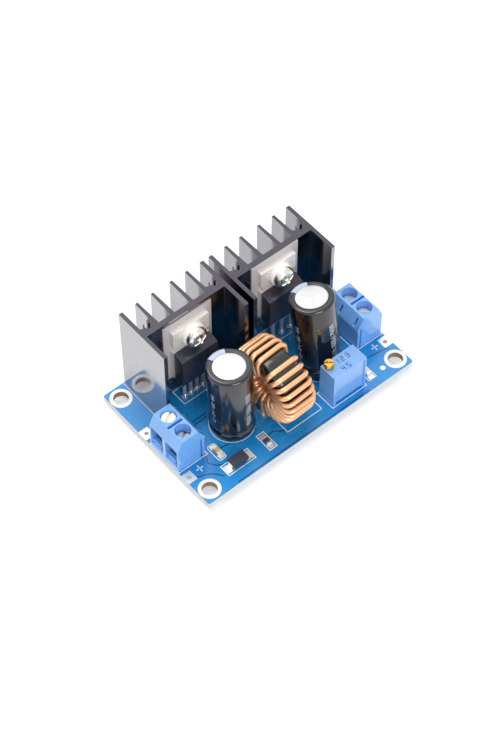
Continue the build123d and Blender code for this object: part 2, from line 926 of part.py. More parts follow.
def terminal_housing():
    """The input terminal's moulding: wire entries face -X and screw holes face up."""
    deep = terminal_depth
    tall = terminal_height
    outline = Polygon(
        (0, 0),
        (0, tall - terminal_front_drop),
        (terminal_front_slope, tall),
        (deep - terminal_back_slope, tall),
        (deep, tall - terminal_back_drop),
        (deep, terminal_back_step_height),
        (deep - terminal_back_step, terminal_back_step_height),
        (deep - terminal_back_step, 0),
        align=None,
    )
    length = pole_count * pole_pitch
    end_y = terminal_middle_y - length / 2
    body = Pos(terminal_x(0), end_y, board_top) * prism(Plane.XZ * outline, length, ALONG_Y)
    screw_x = terminal_x(screw_hole_inset)
    above_bridge = (contact_bridge_top, contact_bridge_top + terminal_height)
    for y in pole_ys():
        body -= terminal_entry(y)
        body -= bore(screw_x, y, screw_hole_radius, above_bridge, large_sides)
        body += terminal_sill(y)
        body -= back_slot(y)
    body -= top_slot()
    body -= end_groove()
    for lead in terminal_pin_leads(-1):
        body -= lead_passage(lead, contact_fit, (0, board_top + terminal_floor))
    return body


def terminal_entry(y):
    """The wire entry and the room for the clamp behind it."""
    half = entry_width / 2
    z_span = (board_top + terminal_floor, board_top + entry_height)
    return block((terminal_x(-1), terminal_x(entry_depth)), (y - half, y + half), z_span)


def terminal_sill(y):
    half = entry_width / 2
    z_bottom = board_top + terminal_floor
    half_thickness = sill_thickness / 2
    x_span = (terminal_x(sill_setback - half_thickness), terminal_x(sill_setback + half_thickness))
    return block(x_span, (y - half + sill_gap, y + half), (z_bottom, z_bottom + sill_height))


def top_slot():
    """The slot between the two poles."""
    start = terminal_x(terminal_front_slope)
    top = board_top + terminal_height
    half = top_slot_width / 2
    y_span = (terminal_middle_y - half, terminal_middle_y + half)
    return block((start, start + top_slot_length), y_span, (top - top_slot_depth, top + top_slot_depth))


def end_groove():
    """The upright groove in the -Y end, where a neighbouring block would hook on."""
    end_y = terminal_middle_y - pole_count * pole_pitch / 2
    x = terminal_x(terminal_depth - end_groove_inset)
    x_span = (x - end_groove_width, x)
    y_span = (end_y - end_groove_depth, end_y + end_groove_depth)
    return block(x_span, y_span, (board_top, board_top + end_groove_height))


def back_slot(y):
    """A narrow slot down the slope at the back of each pole."""
    top = board_top + terminal_height - terminal_back_slope
    slope_x = terminal_x(terminal_depth - terminal_back_slope)
    x_span = (slope_x - back_slot_depth / 2, terminal_x(terminal_depth))
    y_middle = y - back_slot_offset
    y_span = (y_middle - back_slot_width / 2, y_middle + back_slot_width / 2)
    return block(x_span, y_span, (top - back_slot_height / 2, top + back_slot_height / 2))


def terminal_contacts():
    """A folded strip for each pole: foot, riser, threaded bridge and solder pin."""
    contacts = []
    front = terminal_x(contact_front)
    back = terminal_x(contact_front + contact_length)
    half = contact_width / 2
    foot_z = board_top + terminal_floor
    bridge_bottom = contact_bridge_top - contact_bridge_thickness
    bridge_span = (bridge_bottom, contact_bridge_top)
    for y, lead in zip(pole_ys(), terminal_pin_leads(-1)):
        y_span = (y - half, y + half)
        strip = block((front, back), y_span, (foot_z, foot_z + contact_thickness))
        strip += block((back - contact_thickness, back), y_span, (foot_z, contact_bridge_top))
        strip += block((front, back), y_span, bridge_span)
        strip -= bore(terminal_x(screw_hole_inset), y, terminal_bore_radius, bridge_span)
        strip += lead_bar(lead, (solder_height, foot_z))
        contacts.append(strip)
    return contacts


def closed_plate_bottom():
    return board_top + terminal_floor + contact_thickness + clamp_closed_gap


def clamp_plate(y, rise):
    """The plate that the screw drives down onto the wire."""
    bottom = closed_plate_bottom() + rise
    x = terminal_x(screw_hole_inset)
    x_span = (x - clamp_plate_length / 2, x + clamp_plate_length / 2)
    half = clamp_plate_width / 2
    return block(x_span, (y - half, y + half), (bottom, bottom + clamp_plate_thickness))


def terminal_screw(y, rise):
    """A slotted cheese-head screw whose tip stands on the clamp plate."""
    x = terminal_x(screw_hole_inset)
    tip = closed_plate_bottom() + clamp_plate_thickness + rise
    head_bottom = contact_bridge_top + head_closed_gap + rise
    head_top = head_bottom + terminal_head_height
    screw = spindle(x, y, terminal_shank_radius, (tip, head_bottom))
    screw += rod(x, y, terminal_head_radius, (head_bottom, head_top))
    slot = Box(2 * terminal_head_radius, terminal_slot_width, 2 * terminal_slot_depth)
    return screw - Pos(x, y, head_top) * Rot(0, 0, terminal_slot_angle) * slot


def surface_seat(place, turn=0):
    """A frame on the solder pads, for a chip part lying along its own X."""
    return Pos(*place, board_top + pad_thickness) * Rot(0, 0, turn)


def diode_body():
    half_x = diode_body_length / 2
    half_y = diode_body_width / 2
    middle = (diode_body_lift + diode_body_height) / 2
    lower = Rectangle(2 * (half_x - diode_body_taper), 2 * (half_y - diode_body_taper))
    waist = Rectangle(2 * half_x, 2 * half_y)
    body = loft([Pos(0, 0, diode_body_lift) * lower, Pos(0, 0, middle) * waist], ruled=True)
    body += loft([Pos(0, 0, middle) * waist, Pos(0, 0, diode_body_height) * lower], ruled=True)
    return surface_seat(diode_place) * body


def diode_leads():
    """Two strips that leave the body's ends, run down them and turn under onto the pads."""
    leads = []
    half_y = diode_lead_width / 2
    outside = diode_body_length / 2 + chip_gap
    thick = diode_lead_thickness
    for side in (-1, 1):
        inner, outer = side * outside, side * (outside + thick)
        foot_end = side * (outside + diode_lead_reach)
        strip = block((inner, outer), (-half_y, half_y), (0, diode_lead_height + thick))
        strip += block((inner, foot_end), (-half_y, half_y), (0, thick))
        leads.append(surface_seat(diode_place) * strip)
    return leads


def chip_body(place, height):
    """The ceramic middle of a chip part that lies along Y."""
    length = chip_length - 2 * chip_cap_length
    return surface_seat(place, 90) * Pos(0, 0, height / 2) * Box(length, chip_width, height)


def chip_end_caps(place, height):
    caps = []
    for side in (-1, 1):
        x = side * (chip_length - chip_cap_length) / 2
        cap = Box(chip_cap_length, chip_width, height)
        caps.append(surface_seat(place, 90) * Pos(x, 0, height / 2) * cap)
    return caps


def chip_places():
    return [
        (resistor_place, resistor_height),
        (chip_capacitor_place(), chip_capacitor_height),
        (indicator_place, indicator_height),
    ]


def all_chip_end_caps():
    return [cap for place, height in chip_places() for cap in chip_end_caps(place, height)]


def surface_pads():
    """The tinned pads under the chip parts and the diode."""
    pads = []
    for place, _ in chip_places():
        pads += pad_pair(place, 90, surface_pad_spacing, surface_pad_length, surface_pad_width)
    return pads + pad_pair(diode_place, 0, diode_pad_spacing, diode_pad_length, diode_pad_width)


def pad_pair(place, turn, spacing, length, width):
    pair = []
    for side in (-1, 1):
        spot = Pos(*place, board_top) * Rot(0, 0, turn) * Pos(side * spacing / 2, 0, 0)
        pair.append(spot * extrude(Rectangle(length, width), pad_thickness))
    return pair


def solder_cone(lead, height, taper):
    """A tapered skirt of solder for a lead, rising from z = 0 at the origin."""
    radius = lead[2] / 2 + drill_clearance + solder_skirt
    return extrude(RegularPolygon(radius, solder_sides), height, taper=taper)


def solder_joints():
    """A cone under the board over each lead's end, and a dome on top at the device leads."""
    joints = []
    for lead in all_leads():
        under_board = Pos(lead[0], lead[1], solder_height) * Rot(180, 0, 0)
        joints.append(under_board * solder_cone(lead, solder_height, solder_taper))
    device = device_leads(-1, regulator_lead_count, regulator_lead_pitch)
    device += device_leads(1, rectifier_lead_count, rectifier_lead_pitch)
    for lead in device:
        dome = Pos(lead[0], lead[1], board_top) * solder_cone(lead, dome_height, dome_taper)
        joints.append(dome - lead_passage(lead, solder_fit, (board_top, board_top + dome_height)))
    return joints


def to_output(solid):
    """The output terminal is the input terminal mirrored across the board."""
    return mirror(solid, about=Plane.YZ)


def terminal_nodes(name, rises, place):
    """The pieces of one terminal; place puts each piece on its side of the board."""
    nodes = {
        name + "_terminal_housing": place(terminal_housing()),
        name + "_terminal_contacts": [place(strip) for strip in terminal_contacts()],
    }
    for number, (y, rise) in enumerate(zip(pole_ys(), rises), start=1):
        nodes[f"{name}_clamp_plate_{number}"] = place(clamp_plate(y, rise))
        nodes[f"{name}_terminal_screw_{number}"] = place(terminal_screw(y, rise))
    return nodes


def device_nodes(name, sink_name, side, lift, leads):
    return {
        sink_name + "_heatsink": heatsink(side, lift),
        sink_name + "_heatsink_pins": sink_pins(side),
        sink_name + "_insulating_pad": insulating_pad(side, lift),
        sink_name + "_insulating_bush": insulating_bush(side, lift),
        name + "_tab": device_tab(side, lift),
        name + "_body": device_body(side, lift),
        name + "_leads": leads,
    }


def capacitor_nodes(name, place, lean):
    location = capacitor_location(place, lean)
    return {
        name + "_capacitor_can": capacitor_can(location),
        name + "_capacitor_sleeve": capacitor_sleeve(location),
        name + "_capacitor_seal": capacitor_seal(location),
        name + "_capacitor_leads": capacitor_lead_pair(place, location),
    }


def all_nodes():
    nodes = {
        "circuit_board": circuit_board(),
        "mounting_hole_rings": mounting_hole_rings(),
        "wire_pads": wire_pads(),
        "surface_pads": surface_pads(),
        "solder_joints": solder_joints(),
        "heatsink_screws": [clamp_screw(-1, regulator_lift), clamp_screw(1, rectifier_lift)],
        "inductor_core": inductor_core(),
        "inductor_winding": inductor_winding(),
        "trimmer_housing": trimmer_housing(),
        "trimmer_screw": trimmer_screw(),
        "trimmer_rotor": trimmer_rotor(),
        "trimmer_wiper": trimmer_wiper(),
        "trimmer_element": trimmer_element(),
        "trimmer_base": trimmer_base(),
        "trimmer_pins": trimmer_pins(),
        "diode_body": diode_body(),
        "diode_leads": diode_leads(),
        "chip_resistor": chip_body(resistor_place, resistor_height),
        "chip_capacitor": chip_body(chip_capacitor_place(), chip_capacitor_height),
        "indicator_lamp": chip_body(indicator_place, indicator_height),
        "chip_end_caps": all_chip_end_caps(),
    }
    nodes.update(device_nodes("regulator", "left", -1, regulator_lift, regulator_leads()))
    nodes.update(device_nodes("rectifier", "right", 1, rectifier_lift, rectifier_leads()))
    nodes.update(capacitor_nodes("input", input_capacitor_place, input_capacitor_lean))
    nodes.update(capacitor_nodes("output", output_capacitor_place, output_capacitor_lean))
    nodes.update(terminal_nodes("input", input_clamp_rises, Part))
    nodes.update(terminal_nodes("output", output_clamp_rises, to_output))
    return nodes


def as_shape(piece):
    """A node is one solid, or a compound of separate solids."""
    if isinstance(piece, list):
        return Compound(children=[solid for item in piece for solid in item.solids()])
    return Compound(children=piece.solids()) if len(piece.solids()) > 1 else piece.solid()


os.makedirs("parts", exist_ok=True)
for node, piece in all_nodes().items():
    export_step(as_shape(piece), f"parts/{node}.step")
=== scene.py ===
# %% [markdown]
# # A step-down converter module, dressed for a product photograph
#
# The solid model gives every piece its size and place. This lesson gives each piece its
# finish: glossy solder mask, dark anodised fins, copper wire, moulded plastic and solder.
# Fine things that a solid model leaves plain, such as printed lines and round wire, are
# built here and ride on the same rigid bodies.

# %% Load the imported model
import math

import bmesh
import bpy
from mathutils import Matrix, Vector


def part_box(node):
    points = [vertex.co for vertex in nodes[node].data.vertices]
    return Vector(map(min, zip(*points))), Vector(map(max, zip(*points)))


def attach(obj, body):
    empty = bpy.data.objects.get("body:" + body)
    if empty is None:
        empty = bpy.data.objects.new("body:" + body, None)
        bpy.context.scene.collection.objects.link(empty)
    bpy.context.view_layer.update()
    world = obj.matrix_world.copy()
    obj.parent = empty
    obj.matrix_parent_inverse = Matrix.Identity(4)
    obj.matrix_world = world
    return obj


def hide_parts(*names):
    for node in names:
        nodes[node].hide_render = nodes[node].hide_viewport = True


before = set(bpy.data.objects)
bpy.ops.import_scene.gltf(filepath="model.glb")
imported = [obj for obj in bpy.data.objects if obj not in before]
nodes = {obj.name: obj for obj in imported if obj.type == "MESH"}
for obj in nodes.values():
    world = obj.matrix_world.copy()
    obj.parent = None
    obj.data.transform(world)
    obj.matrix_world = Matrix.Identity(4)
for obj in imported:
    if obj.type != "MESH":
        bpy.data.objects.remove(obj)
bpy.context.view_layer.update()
MM = 0.001
BODY = "module"
board_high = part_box("circuit_board")[1]
BOARD_THICKNESS = 1.6
BOARD_TOP = board_high.z / MM
BOARD_BOTTOM = BOARD_TOP - BOARD_THICKNESS
print("board top at", round(BOARD_TOP, 3), "mm")

# %% [markdown]
# ## The camera
#
# The photograph looks down at the near corner of the board from about half a metre, with a
# long lens. A camera is best described by where it looks, from which side, how high and how
# far. The lens follows from how large the board's corners stand in the picture.

# %% Place the camera
LOOK_AT = Vector((-0.96, 2.09, 2.8)) * MM
TURN, RISE, DISTANCE, LENS = 39.987, 53.896, 441.0, 93.6

turn, rise = math.radians(TURN), math.radians(RISE)
flat = math.cos(rise)
looking = Vector((math.sin(turn) * flat, math.cos(turn) * flat, -math.sin(rise)))
camera = bpy.data.objects.new("camera", bpy.data.cameras.new("camera"))
camera.data.lens = LENS
camera.data.sensor_width = 36.0
camera.data.clip_start = 0.01
camera.data.clip_end = 20.0
camera.location = LOOK_AT - looking * DISTANCE * MM
camera.rotation_euler = looking.to_track_quat("-Z", "Y").to_euler()
bpy.context.scene.collection.objects.link(camera)
bpy.context.scene.camera = camera
print("camera stands at", [round(c / MM, 1) for c in camera.location], "mm")

# %% [markdown]
# ## Shader wiring in plain words
#
# Every material below is a small graph of shader nodes. Short helpers keep the cells short:
# they add a node, join two sockets, work out a sum, start a material with its main shader
# and feed that shader.

# %% Helpers for shader graphs
BUMP_DEPTH = 0.02 * MM


def srgb(red, green, blue):
    """A colour given in the usual 0 to 255 numbers, as the linear values that shaders use."""
    def linear(value):
        value = value / 255
        return value / 12.92 if value <= 0.04045 else ((value + 0.055) / 1.055) ** 2.4
    return (linear(red), linear(green), linear(blue), 1.0)


def add(tree, kind, **settings):
    """Adds a node. Settings name either its properties or its input sockets."""
    node = tree.nodes.new(kind)
    for name, value in settings.items():
        if hasattr(node, name):
            setattr(node, name, value)
        else:
            node.inputs[name.replace("_", " ")].default_value = value
    return node


def join(tree, source, target):
    tree.links.new(source, target)


def combine(tree, operation, a, b=0.0):
    """One sum of two sockets or plain numbers."""
    node = add(tree, "ShaderNodeMath", operation=operation)
    for socket, value in zip(node.inputs, (a, b)):
        if isinstance(value, (int, float)):
            socket.default_value = value
        else:
            join(tree, value, socket)
    return node.outputs[0]


def times(tree, a, b):
    return combine(tree, "MULTIPLY", a, b)


def plus(tree, a, b):
    return combine(tree, "ADD", a, b)


def start_material(name, color, roughness, coat, metallic=0.0, coat_roughness=0.1):
    """A material with its main shader, whose plain values sit on the shader's own sockets."""
    material = bpy.data.materials.new(name)
    material.use_nodes = True
    shader = material.node_tree.nodes["Principled BSDF"]
    for label, value in (("Base Color", color), ("Roughness", roughness), ("Metallic", metallic),
                         ("Coat Weight", coat), ("Coat Roughness", coat_roughness)):
        shader.inputs[label].default_value = value
    return material, material.node_tree, shader


def place_group(tree, group, **values):
    """Places a node group with its own values."""
    return add(tree, "ShaderNodeGroup", node_tree=group, **values)


def raise_surface(tree, shader, height, strength):
    """Turns a height into a bump on the shader's normal."""
    bump = add(tree, "ShaderNodeBump", Strength=strength, Distance=BUMP_DEPTH)
    join(tree, height, bump.inputs["Height"])
    join(tree, bump.outputs["Normal"], shader.inputs["Normal"])


def wear(tree, shader, surface, bump):
    """Feeds what an effect puts out to the main shader."""
    join(tree, surface.outputs["Color"], shader.inputs["Base Color"])
    join(tree, surface.outputs["Roughness"], shader.inputs["Roughness"])
    raise_surface(tree, shader, surface.outputs["Height"], bump)


print("helpers ready")

# %% [markdown]
# ## Effects that several finishes share
#
# A moulded surface is never one flat value: its colour drifts a little, its gloss varies and
# it has a fine grain. Metal has fine scratches along the way it was drawn. Each effect is a
# node group, built once, that puts out a colour, a roughness and a height. All of them read
# object coordinates in metres, so a grain of so many per millimetre keeps its real size.

# %% Start a group with named sockets
def start_group(name, inputs, outputs):
    """A shader group whose sockets are given as (name, kind, default)."""
    group = bpy.data.node_groups.new(name, "ShaderNodeTree")
    for label, kind, default in inputs:
        socket = group.interface.new_socket(name=label, in_out="INPUT", socket_type=kind)
        socket.default_value = default
    for label, kind in outputs:
        group.interface.new_socket(name=label, in_out="OUTPUT", socket_type=kind)
    return group, group.nodes.new("NodeGroupInput"), group.nodes.new("NodeGroupOutput")


def noise(tree, vector, scale, detail, roughness):
    """A noise texture. Its scale is a number or a socket."""
    node = add(tree, "ShaderNodeTexNoise", Detail=detail, Roughness=roughness)
    join(tree, vector, node.inputs["Vector"])
    if isinstance(scale, float):
        node.inputs["Scale"].default_value = scale
    else:
        join(tree, scale, node.inputs["Scale"])
    return node.outputs["Fac"]


def spread(tree, value):
    """Stretches the middle of a noise to run from -1 to 1."""
    node = add(tree, "ShaderNodeMapRange", From_Min=0.3, From_Max=0.7, To_Min=-1.0, To_Max=1.0)
    join(tree, value, node.inputs["Value"])
    return node.outputs[0]


def toned(tree, color, amount):
    """A colour, lighter or darker by an amount that varies about 0."""
    node = add(tree, "ShaderNodeHueSaturation")
    join(tree, color, node.inputs["Color"])
    join(tree, plus(tree, amount, 1.0), node.inputs["Value"])
    return node.outputs["Color"]


def outputs_of(group):
    return [item.name for item in group.interface.items_tree if item.in_out == "OUTPUT"]


FLOAT, COLOR = "NodeSocketFloat", "NodeSocketColor"
SURFACE = [("Color", COLOR), ("Roughness", FLOAT), ("Height", FLOAT)]
print("an effect puts out", [label for label, kind in SURFACE])

# %% Moulded or coated surface
def build_moulded_group():
    """Cloudy colour drift, uneven gloss and a fine grain."""
    group, given, put = start_group("moulded_surface", [
        ("Color", COLOR, (0.5, 0.5, 0.5, 1)), ("Drift", FLOAT, 0.1), ("Roughness", FLOAT, 0.4),
        ("Gloss Drift", FLOAT, 0.1), ("Grain per mm", FLOAT, 8.0)], SURFACE)
    asked = given.outputs
    place = add(group, "ShaderNodeTexCoord").outputs["Object"]
    clouds = spread(group, noise(group, place, 260.0, 4.0, 0.6))
    color = toned(group, asked["Color"], times(group, clouds, asked["Drift"]))
    gloss = plus(group, asked["Roughness"], times(group, clouds, asked["Gloss Drift"]))
    grain = noise(group, place, times(group, asked["Grain per mm"], 1 / MM), 2.0, 0.5)
    for label, socket in (("Color", color), ("Roughness", gloss), ("Height", grain)):
        join(group, socket, put.inputs[label])
    return group


moulded_surface = build_moulded_group()
print("group", moulded_surface.name, "puts out", outputs_of(moulded_surface))

# %% Drawn or brushed metal
def build_drawn_group():
    """Fine lines along one axis, with a slow drift of gloss, for drawn, rolled and cut metal."""
    group, given, put = start_group("drawn_metal", [
        ("Color", COLOR, (0.6, 0.6, 0.6, 1)), ("Drift", FLOAT, 0.1), ("Roughness", FLOAT, 0.3),
        ("Lines", FLOAT, 0.1), ("Stretch X", FLOAT, 1.0), ("Stretch Y", FLOAT, 1.0),
        ("Stretch Z", FLOAT, 1.0)], SURFACE)
    asked = given.outputs
    place = add(group, "ShaderNodeTexCoord").outputs["Object"]
    stretch = add(group, "ShaderNodeCombineXYZ")
    for axis in "XYZ":
        join(group, asked["Stretch " + axis], stretch.inputs[axis])
    drawn = add(group, "ShaderNodeVectorMath", operation="MULTIPLY")
    join(group, place, drawn.inputs[0])
    join(group, stretch.outputs[0], drawn.inputs[1])
    lines = noise(group, drawn.outputs[0], 9000.0, 3.0, 0.7)
    clouds = noise(group, place, 300.0, 3.0, 0.55)
    fine, slow = spread(group, lines), spread(group, clouds)
    both = plus(group, times(group, fine, 0.6), times(group, slow, 0.6))
    color = toned(group, asked["Color"], times(group, both, asked["Drift"]))
    gloss = plus(group, asked["Roughness"], times(group, both, asked["Lines"]))
    for label, socket in (("Color", color), ("Roughness", gloss), ("Height", lines)):
        join(group, socket, put.inputs[label])
    return group


drawn_metal = build_drawn_group()
print("group", drawn_metal.name, "puts out", outputs_of(drawn_metal))

# %% [markdown]
# ## Materials from the two effects
#
# Most pieces are either moulded or metal, so two short makers cover them, each placed with
# its own colour, gloss and grain.

# %% Moulded plastic and drawn metal, ready to colour
def moulded(name, tone, roughness, drift=0.06, gloss_drift=0.05, grain=8.0, bump=0.15, coat=0.0):
    color = srgb(*tone)
    material, tree, shader = start_material(name, color, roughness, coat)
    surface = place_group(tree, moulded_surface, Color=color, Drift=drift, Roughness=roughness,
                          Gloss_Drift=gloss_drift, Grain_per_mm=grain)
    wear(tree, shader, surface, bump)
    return material


def metal(name, tone, roughness, drift, lines, stretch=(1, 1, 1), bump=0.1, metallic=1.0,
          coat=0.0):
    color = srgb(*tone)
    material, tree, shader = start_material(name, color, roughness, coat, metallic)
    surface = place_group(tree, drawn_metal, Color=color, Drift=drift, Roughness=roughness,
                          Lines=lines, Stretch_X=stretch[0], Stretch_Y=stretch[1],
                          Stretch_Z=stretch[2])
    wear(tree, shader, surface, bump)
    return material


tinned = metal("tinned_copper", (238, 237, 233), 0.36, drift=0.06, lines=0.1, metallic=0.7)
bright_solder = metal("bright_solder", (236, 235, 232), 0.2,
                      drift=0.05, lines=0.08, bump=0.2, metallic=0.85)
zinc_steel = metal("zinc_plated_steel", (226, 223, 215), 0.22, drift=0.06, lines=0.1)
rolled_tab = metal("rolled_tab", (246, 240, 236), 0.4,
                   drift=0.05, lines=0.1, stretch=(1, 1, 0.08), metallic=0.3)
clamp_metal = metal("clamp_metal", (252, 247, 232), 0.36, drift=0.06, lines=0.1, metallic=0.3)
turned_brass = metal("turned_brass", (226, 178, 84), 0.24, drift=0.08, lines=0.1)
can_aluminium = metal("can_aluminium", (230, 230, 231), 0.5, drift=0.02, lines=0.06, metallic=0.3)
device_epoxy = moulded("device_epoxy", (56, 57, 70), 0.3,
                       drift=0.12, grain=14.0, bump=0.2, coat=0.25)
silicone_pad = moulded("silicone_pad", (200, 194, 193), 0.4, drift=0.04, grain=10.0, bump=0.15)
ivory_nylon = moulded("ivory_nylon", (252, 249, 240), 0.36, drift=0.02)
terminal_blue = moulded("terminal_blue", (116, 176, 243), 0.34,
                        drift=0.04, grain=7.0, bump=0.12, coat=0.8)
trimmer_blue = moulded("trimmer_blue", (119, 174, 240), 0.33,
                       drift=0.04, grain=9.0, bump=0.12, coat=0.7)
black_rubber = moulded("black_rubber", (26, 26, 27), 0.7, drift=0.1)
pale_plastic = moulded("pale_plastic", (220, 220, 212), 0.5)
alumina = moulded("alumina", (226, 224, 216), 0.6)
sealing_compound = moulded("sealing_compound", (60, 78, 120), 0.35)
black_glaze = moulded("black_glaze", (74, 75, 80), 0.3, drift=0.1)
tan_ceramic = moulded("tan_ceramic", (206, 170, 128), 0.45, drift=0.08)
lamp_resin = moulded("lamp_resin", (236, 232, 208), 0.25, drift=0.05)
film_ink = moulded("film_ink", (226, 230, 236), 0.45, drift=0.08, grain=12.0)
white_ink = moulded("white_ink", (252, 253, 254), 0.5, drift=0.03, grain=12.0)
deep_lacquer = moulded("deep_lacquer", (4, 72, 138), 0.26, drift=0.05, grain=3.0, coat=0.3)
blue_ink = moulded("blue_ink", (44, 60, 104), 0.5, drift=0.05, grain=12.0)
stripe_film = moulded("stripe_film", (196, 208, 228), 0.2, drift=0.05, grain=2.0, coat=0.5)
print(len(bpy.data.materials), "materials so far")

# %% [markdown]
# ## The board's solder mask
#
# The laminate is covered by a glossy blue lacquer over copper areas. The lacquer looks a
# little deeper where there is no copper below it, its edges are pale bare laminate, and the
# holes show brown glass fibre. One material can tell these apart by the way the surface
# faces: up and down is lacquer, sideways is laminate.

# %% Tell a hole's wall from the outer edge
EDGE_BAND = 0.3


def size_along(tree, kind, output, axis):
    """How large one part of a vector is, whichever way it points."""
    parts = add(tree, "ShaderNodeSeparateXYZ")
    join(tree, add(tree, kind).outputs[output], parts.inputs[0])
    return combine(tree, "ABSOLUTE", parts.outputs[axis])


def inside_outline(tree):
    """1 on walls that lie within the board's outline, 0 on its outer edge."""
    checks = []
    for axis, limit in (("X", board_high.x), ("Y", board_high.y)):
        size = size_along(tree, "ShaderNodeTexCoord", "Object", axis)
        checks.append(combine(tree, "LESS_THAN", size, limit - EDGE_BAND * MM))
    return times(tree, *checks)


print("the outer edge is the last", EDGE_BAND, "mm")

# %% Tell level faces from upright ones, and choose by a mask
def level_faces(tree):
    """1 on faces that look up or down, 0 on upright ones."""
    upward = size_along(tree, "ShaderNodeNewGeometry", "Normal", "Z")
    return combine(tree, "GREATER_THAN", upward, 0.5)


def choose(tree, mask, at_zero, at_one, kind="RGBA"):
    """One of two colours or values, by a mask."""
    mix = add(tree, "ShaderNodeMix", data_type=kind)
    low, high, out = (6, 7, 2) if kind == "RGBA" else (2, 3, 0)
    join(tree, mask, mix.inputs[0])
    for index, value in ((low, at_zero), (high, at_one)):
        if isinstance(value, tuple):
            mix.inputs[index].default_value = value
        else:
            join(tree, value, mix.inputs[index])
    return mix.outputs[out]


def wear_two(tree, shader, mask, at_zero, at_one):
    """Two surfaces on one piece: colour and roughness follow the mask."""
    for label, socket, kind in (("Color", "Base Color", "RGBA"),
                                ("Roughness", "Roughness", "FLOAT")):
        mixed = choose(tree, mask, at_zero[label], at_one[label], kind)
        join(tree, mixed, shader.inputs[socket])


print("masks ready")

# %% Solder mask over copper
def build_board_material():
    material, tree, shader = start_material("solder_mask", srgb(12, 112, 190), 0.24,
                                            coat=0.3, coat_roughness=0.12)
    lacquer = place_group(tree, moulded_surface, Color=srgb(18, 142, 214), Drift=0.08,
                          Roughness=0.26, Gloss_Drift=0.08, Grain_per_mm=3.0).outputs
    edge = place_group(tree, moulded_surface, Color=srgb(224, 222, 212), Drift=0.06,
                       Roughness=0.6, Gloss_Drift=0.1, Grain_per_mm=9.0).outputs
    drilled = choose(tree, inside_outline(tree), edge["Color"], srgb(158, 120, 78))
    laminate = {"Color": drilled, "Roughness": edge["Roughness"]}
    wear_two(tree, shader, level_faces(tree), laminate, lacquer)
    raise_surface(tree, shader, lacquer["Height"], 0.12)
    return material


board_mask = build_board_material()
print("board finish:", board_mask.name)

# %% [markdown]
# ## Anodised extrusion
#
# The heatsinks are extruded, sawn to length and then anodised dark. The long faces have a
# glossy skin with fine draw lines from top to bottom, and the sawn ends are duller. The
# skin is a metallic base under a clear coat, and a mask leaves the coat off the sawn ends.

# %% Dark skin and sawn ends
SKIN_COAT = 0.6


def build_sink_material():
    material, tree, shader = start_material("anodised_extrusion", srgb(60, 62, 72), 0.22,
                                            coat=SKIN_COAT, metallic=1.0, coat_roughness=0.08)
    skin = place_group(tree, drawn_metal, Color=srgb(150, 148, 152), Drift=0.06, Roughness=0.13,
                       Lines=0.04, Stretch_X=1.0, Stretch_Y=1.0, Stretch_Z=0.02).outputs
    sawn = place_group(tree, drawn_metal, Color=srgb(82, 80, 88), Drift=0.14, Roughness=0.46,
                       Lines=0.1, Stretch_X=0.1, Stretch_Y=1.0, Stretch_Z=1.0).outputs
    level = level_faces(tree)
    wear_two(tree, shader, level, skin, sawn)
    coat = plus(tree, times(tree, level, -SKIN_COAT), SKIN_COAT)
    join(tree, coat, shader.inputs["Coat Weight"])
    raise_surface(tree, shader, skin["Height"], 0.05)
    return material


sink_skin = build_sink_material()
print("heatsink finish:", sink_skin.name)

# %% [markdown]
# ## Copper wire, enamelled core and shrink film
#
# Enamelled wire is bright copper under a clear amber lacquer: a metal with a coat. The core
# is iron powder under thick black enamel, and the capacitors wear a thin black film with
# a hard gloss, so both are dark and very smooth with a sharp highlight.

# %% Wire, core and film
enamelled_wire = metal("enamelled_wire", (246, 186, 134), 0.3,
                       drift=0.1, lines=0.05, metallic=0.55, coat=0.9)
core_enamel = moulded("core_enamel", (24, 25, 28), 0.16,
                      drift=0.15, gloss_drift=0.06, grain=2.5, bump=0.25, coat=0.6)
shrink_film = metal("shrink_film", (13, 14, 20), 0.16,
                    drift=0.1, lines=0.03, stretch=(0.09, 0.09, 0.012), bump=0.55,
                    metallic=0.0, coat=0.6)
print("dark and coppery finishes:", [m.name for m in (enamelled_wire, core_enamel, shrink_film)])

# %% [markdown]
# ## Dress the solid nodes
#
# Solid nodes keep their place and shape. Each gets its finish, and three modifiers that
# don't move anything by more than a few hundredths of a millimetre: a weld, because the
# packed faces don't share corners, a rule that shades flat strips of a round form as round,
# and a tiny bevel, because real edges catch the light.

# %% Which finish each node wears
FINISHES = (
    (board_mask, "circuit_board"), (white_ink, "mounting_hole_rings"),
    (tinned, ("wire_pads", "surface_pads", "trimmer_pins", "leads", "chip_end_caps")),
    (zinc_steel, ("heatsink_screws", "heatsink_pins", "trimmer_wiper")),
    (core_enamel, "inductor_core"), (enamelled_wire, "inductor_winding"),
    (trimmer_blue, "trimmer_housing"), (turned_brass, "trimmer_screw"),
    (pale_plastic, "trimmer_rotor"), (alumina, "trimmer_element"),
    (sealing_compound, "trimmer_base"), (device_epoxy, "body"), (black_glaze, "chip_resistor"),
    (tan_ceramic, "chip_capacitor"), (lamp_resin, "indicator_lamp"),
    (bright_solder, "solder_joints"), (sink_skin, "heatsink"), (silicone_pad, "insulating_pad"),
    (ivory_nylon, "insulating_bush"), (rolled_tab, "tab"), (can_aluminium, "capacitor_can"),
    (shrink_film, "capacitor_sleeve"), (black_rubber, "capacitor_seal"),
    (terminal_blue, "terminal_housing"), (clamp_metal, ("terminal_contacts", "clamp_plate_1",
     "clamp_plate_2", "terminal_screw_1", "terminal_screw_2")),
)


def by_ending(table, name, other=None):
    """What a table says about the end of a node's name."""
    return next((value for value, endings in table if name.endswith(endings)), other)


print("nodes without a finish:", [name for name in nodes if not by_ending(FINISHES, name)])

# %% Shade rounded forms as round
SHARP_ANGLE = math.radians(35)


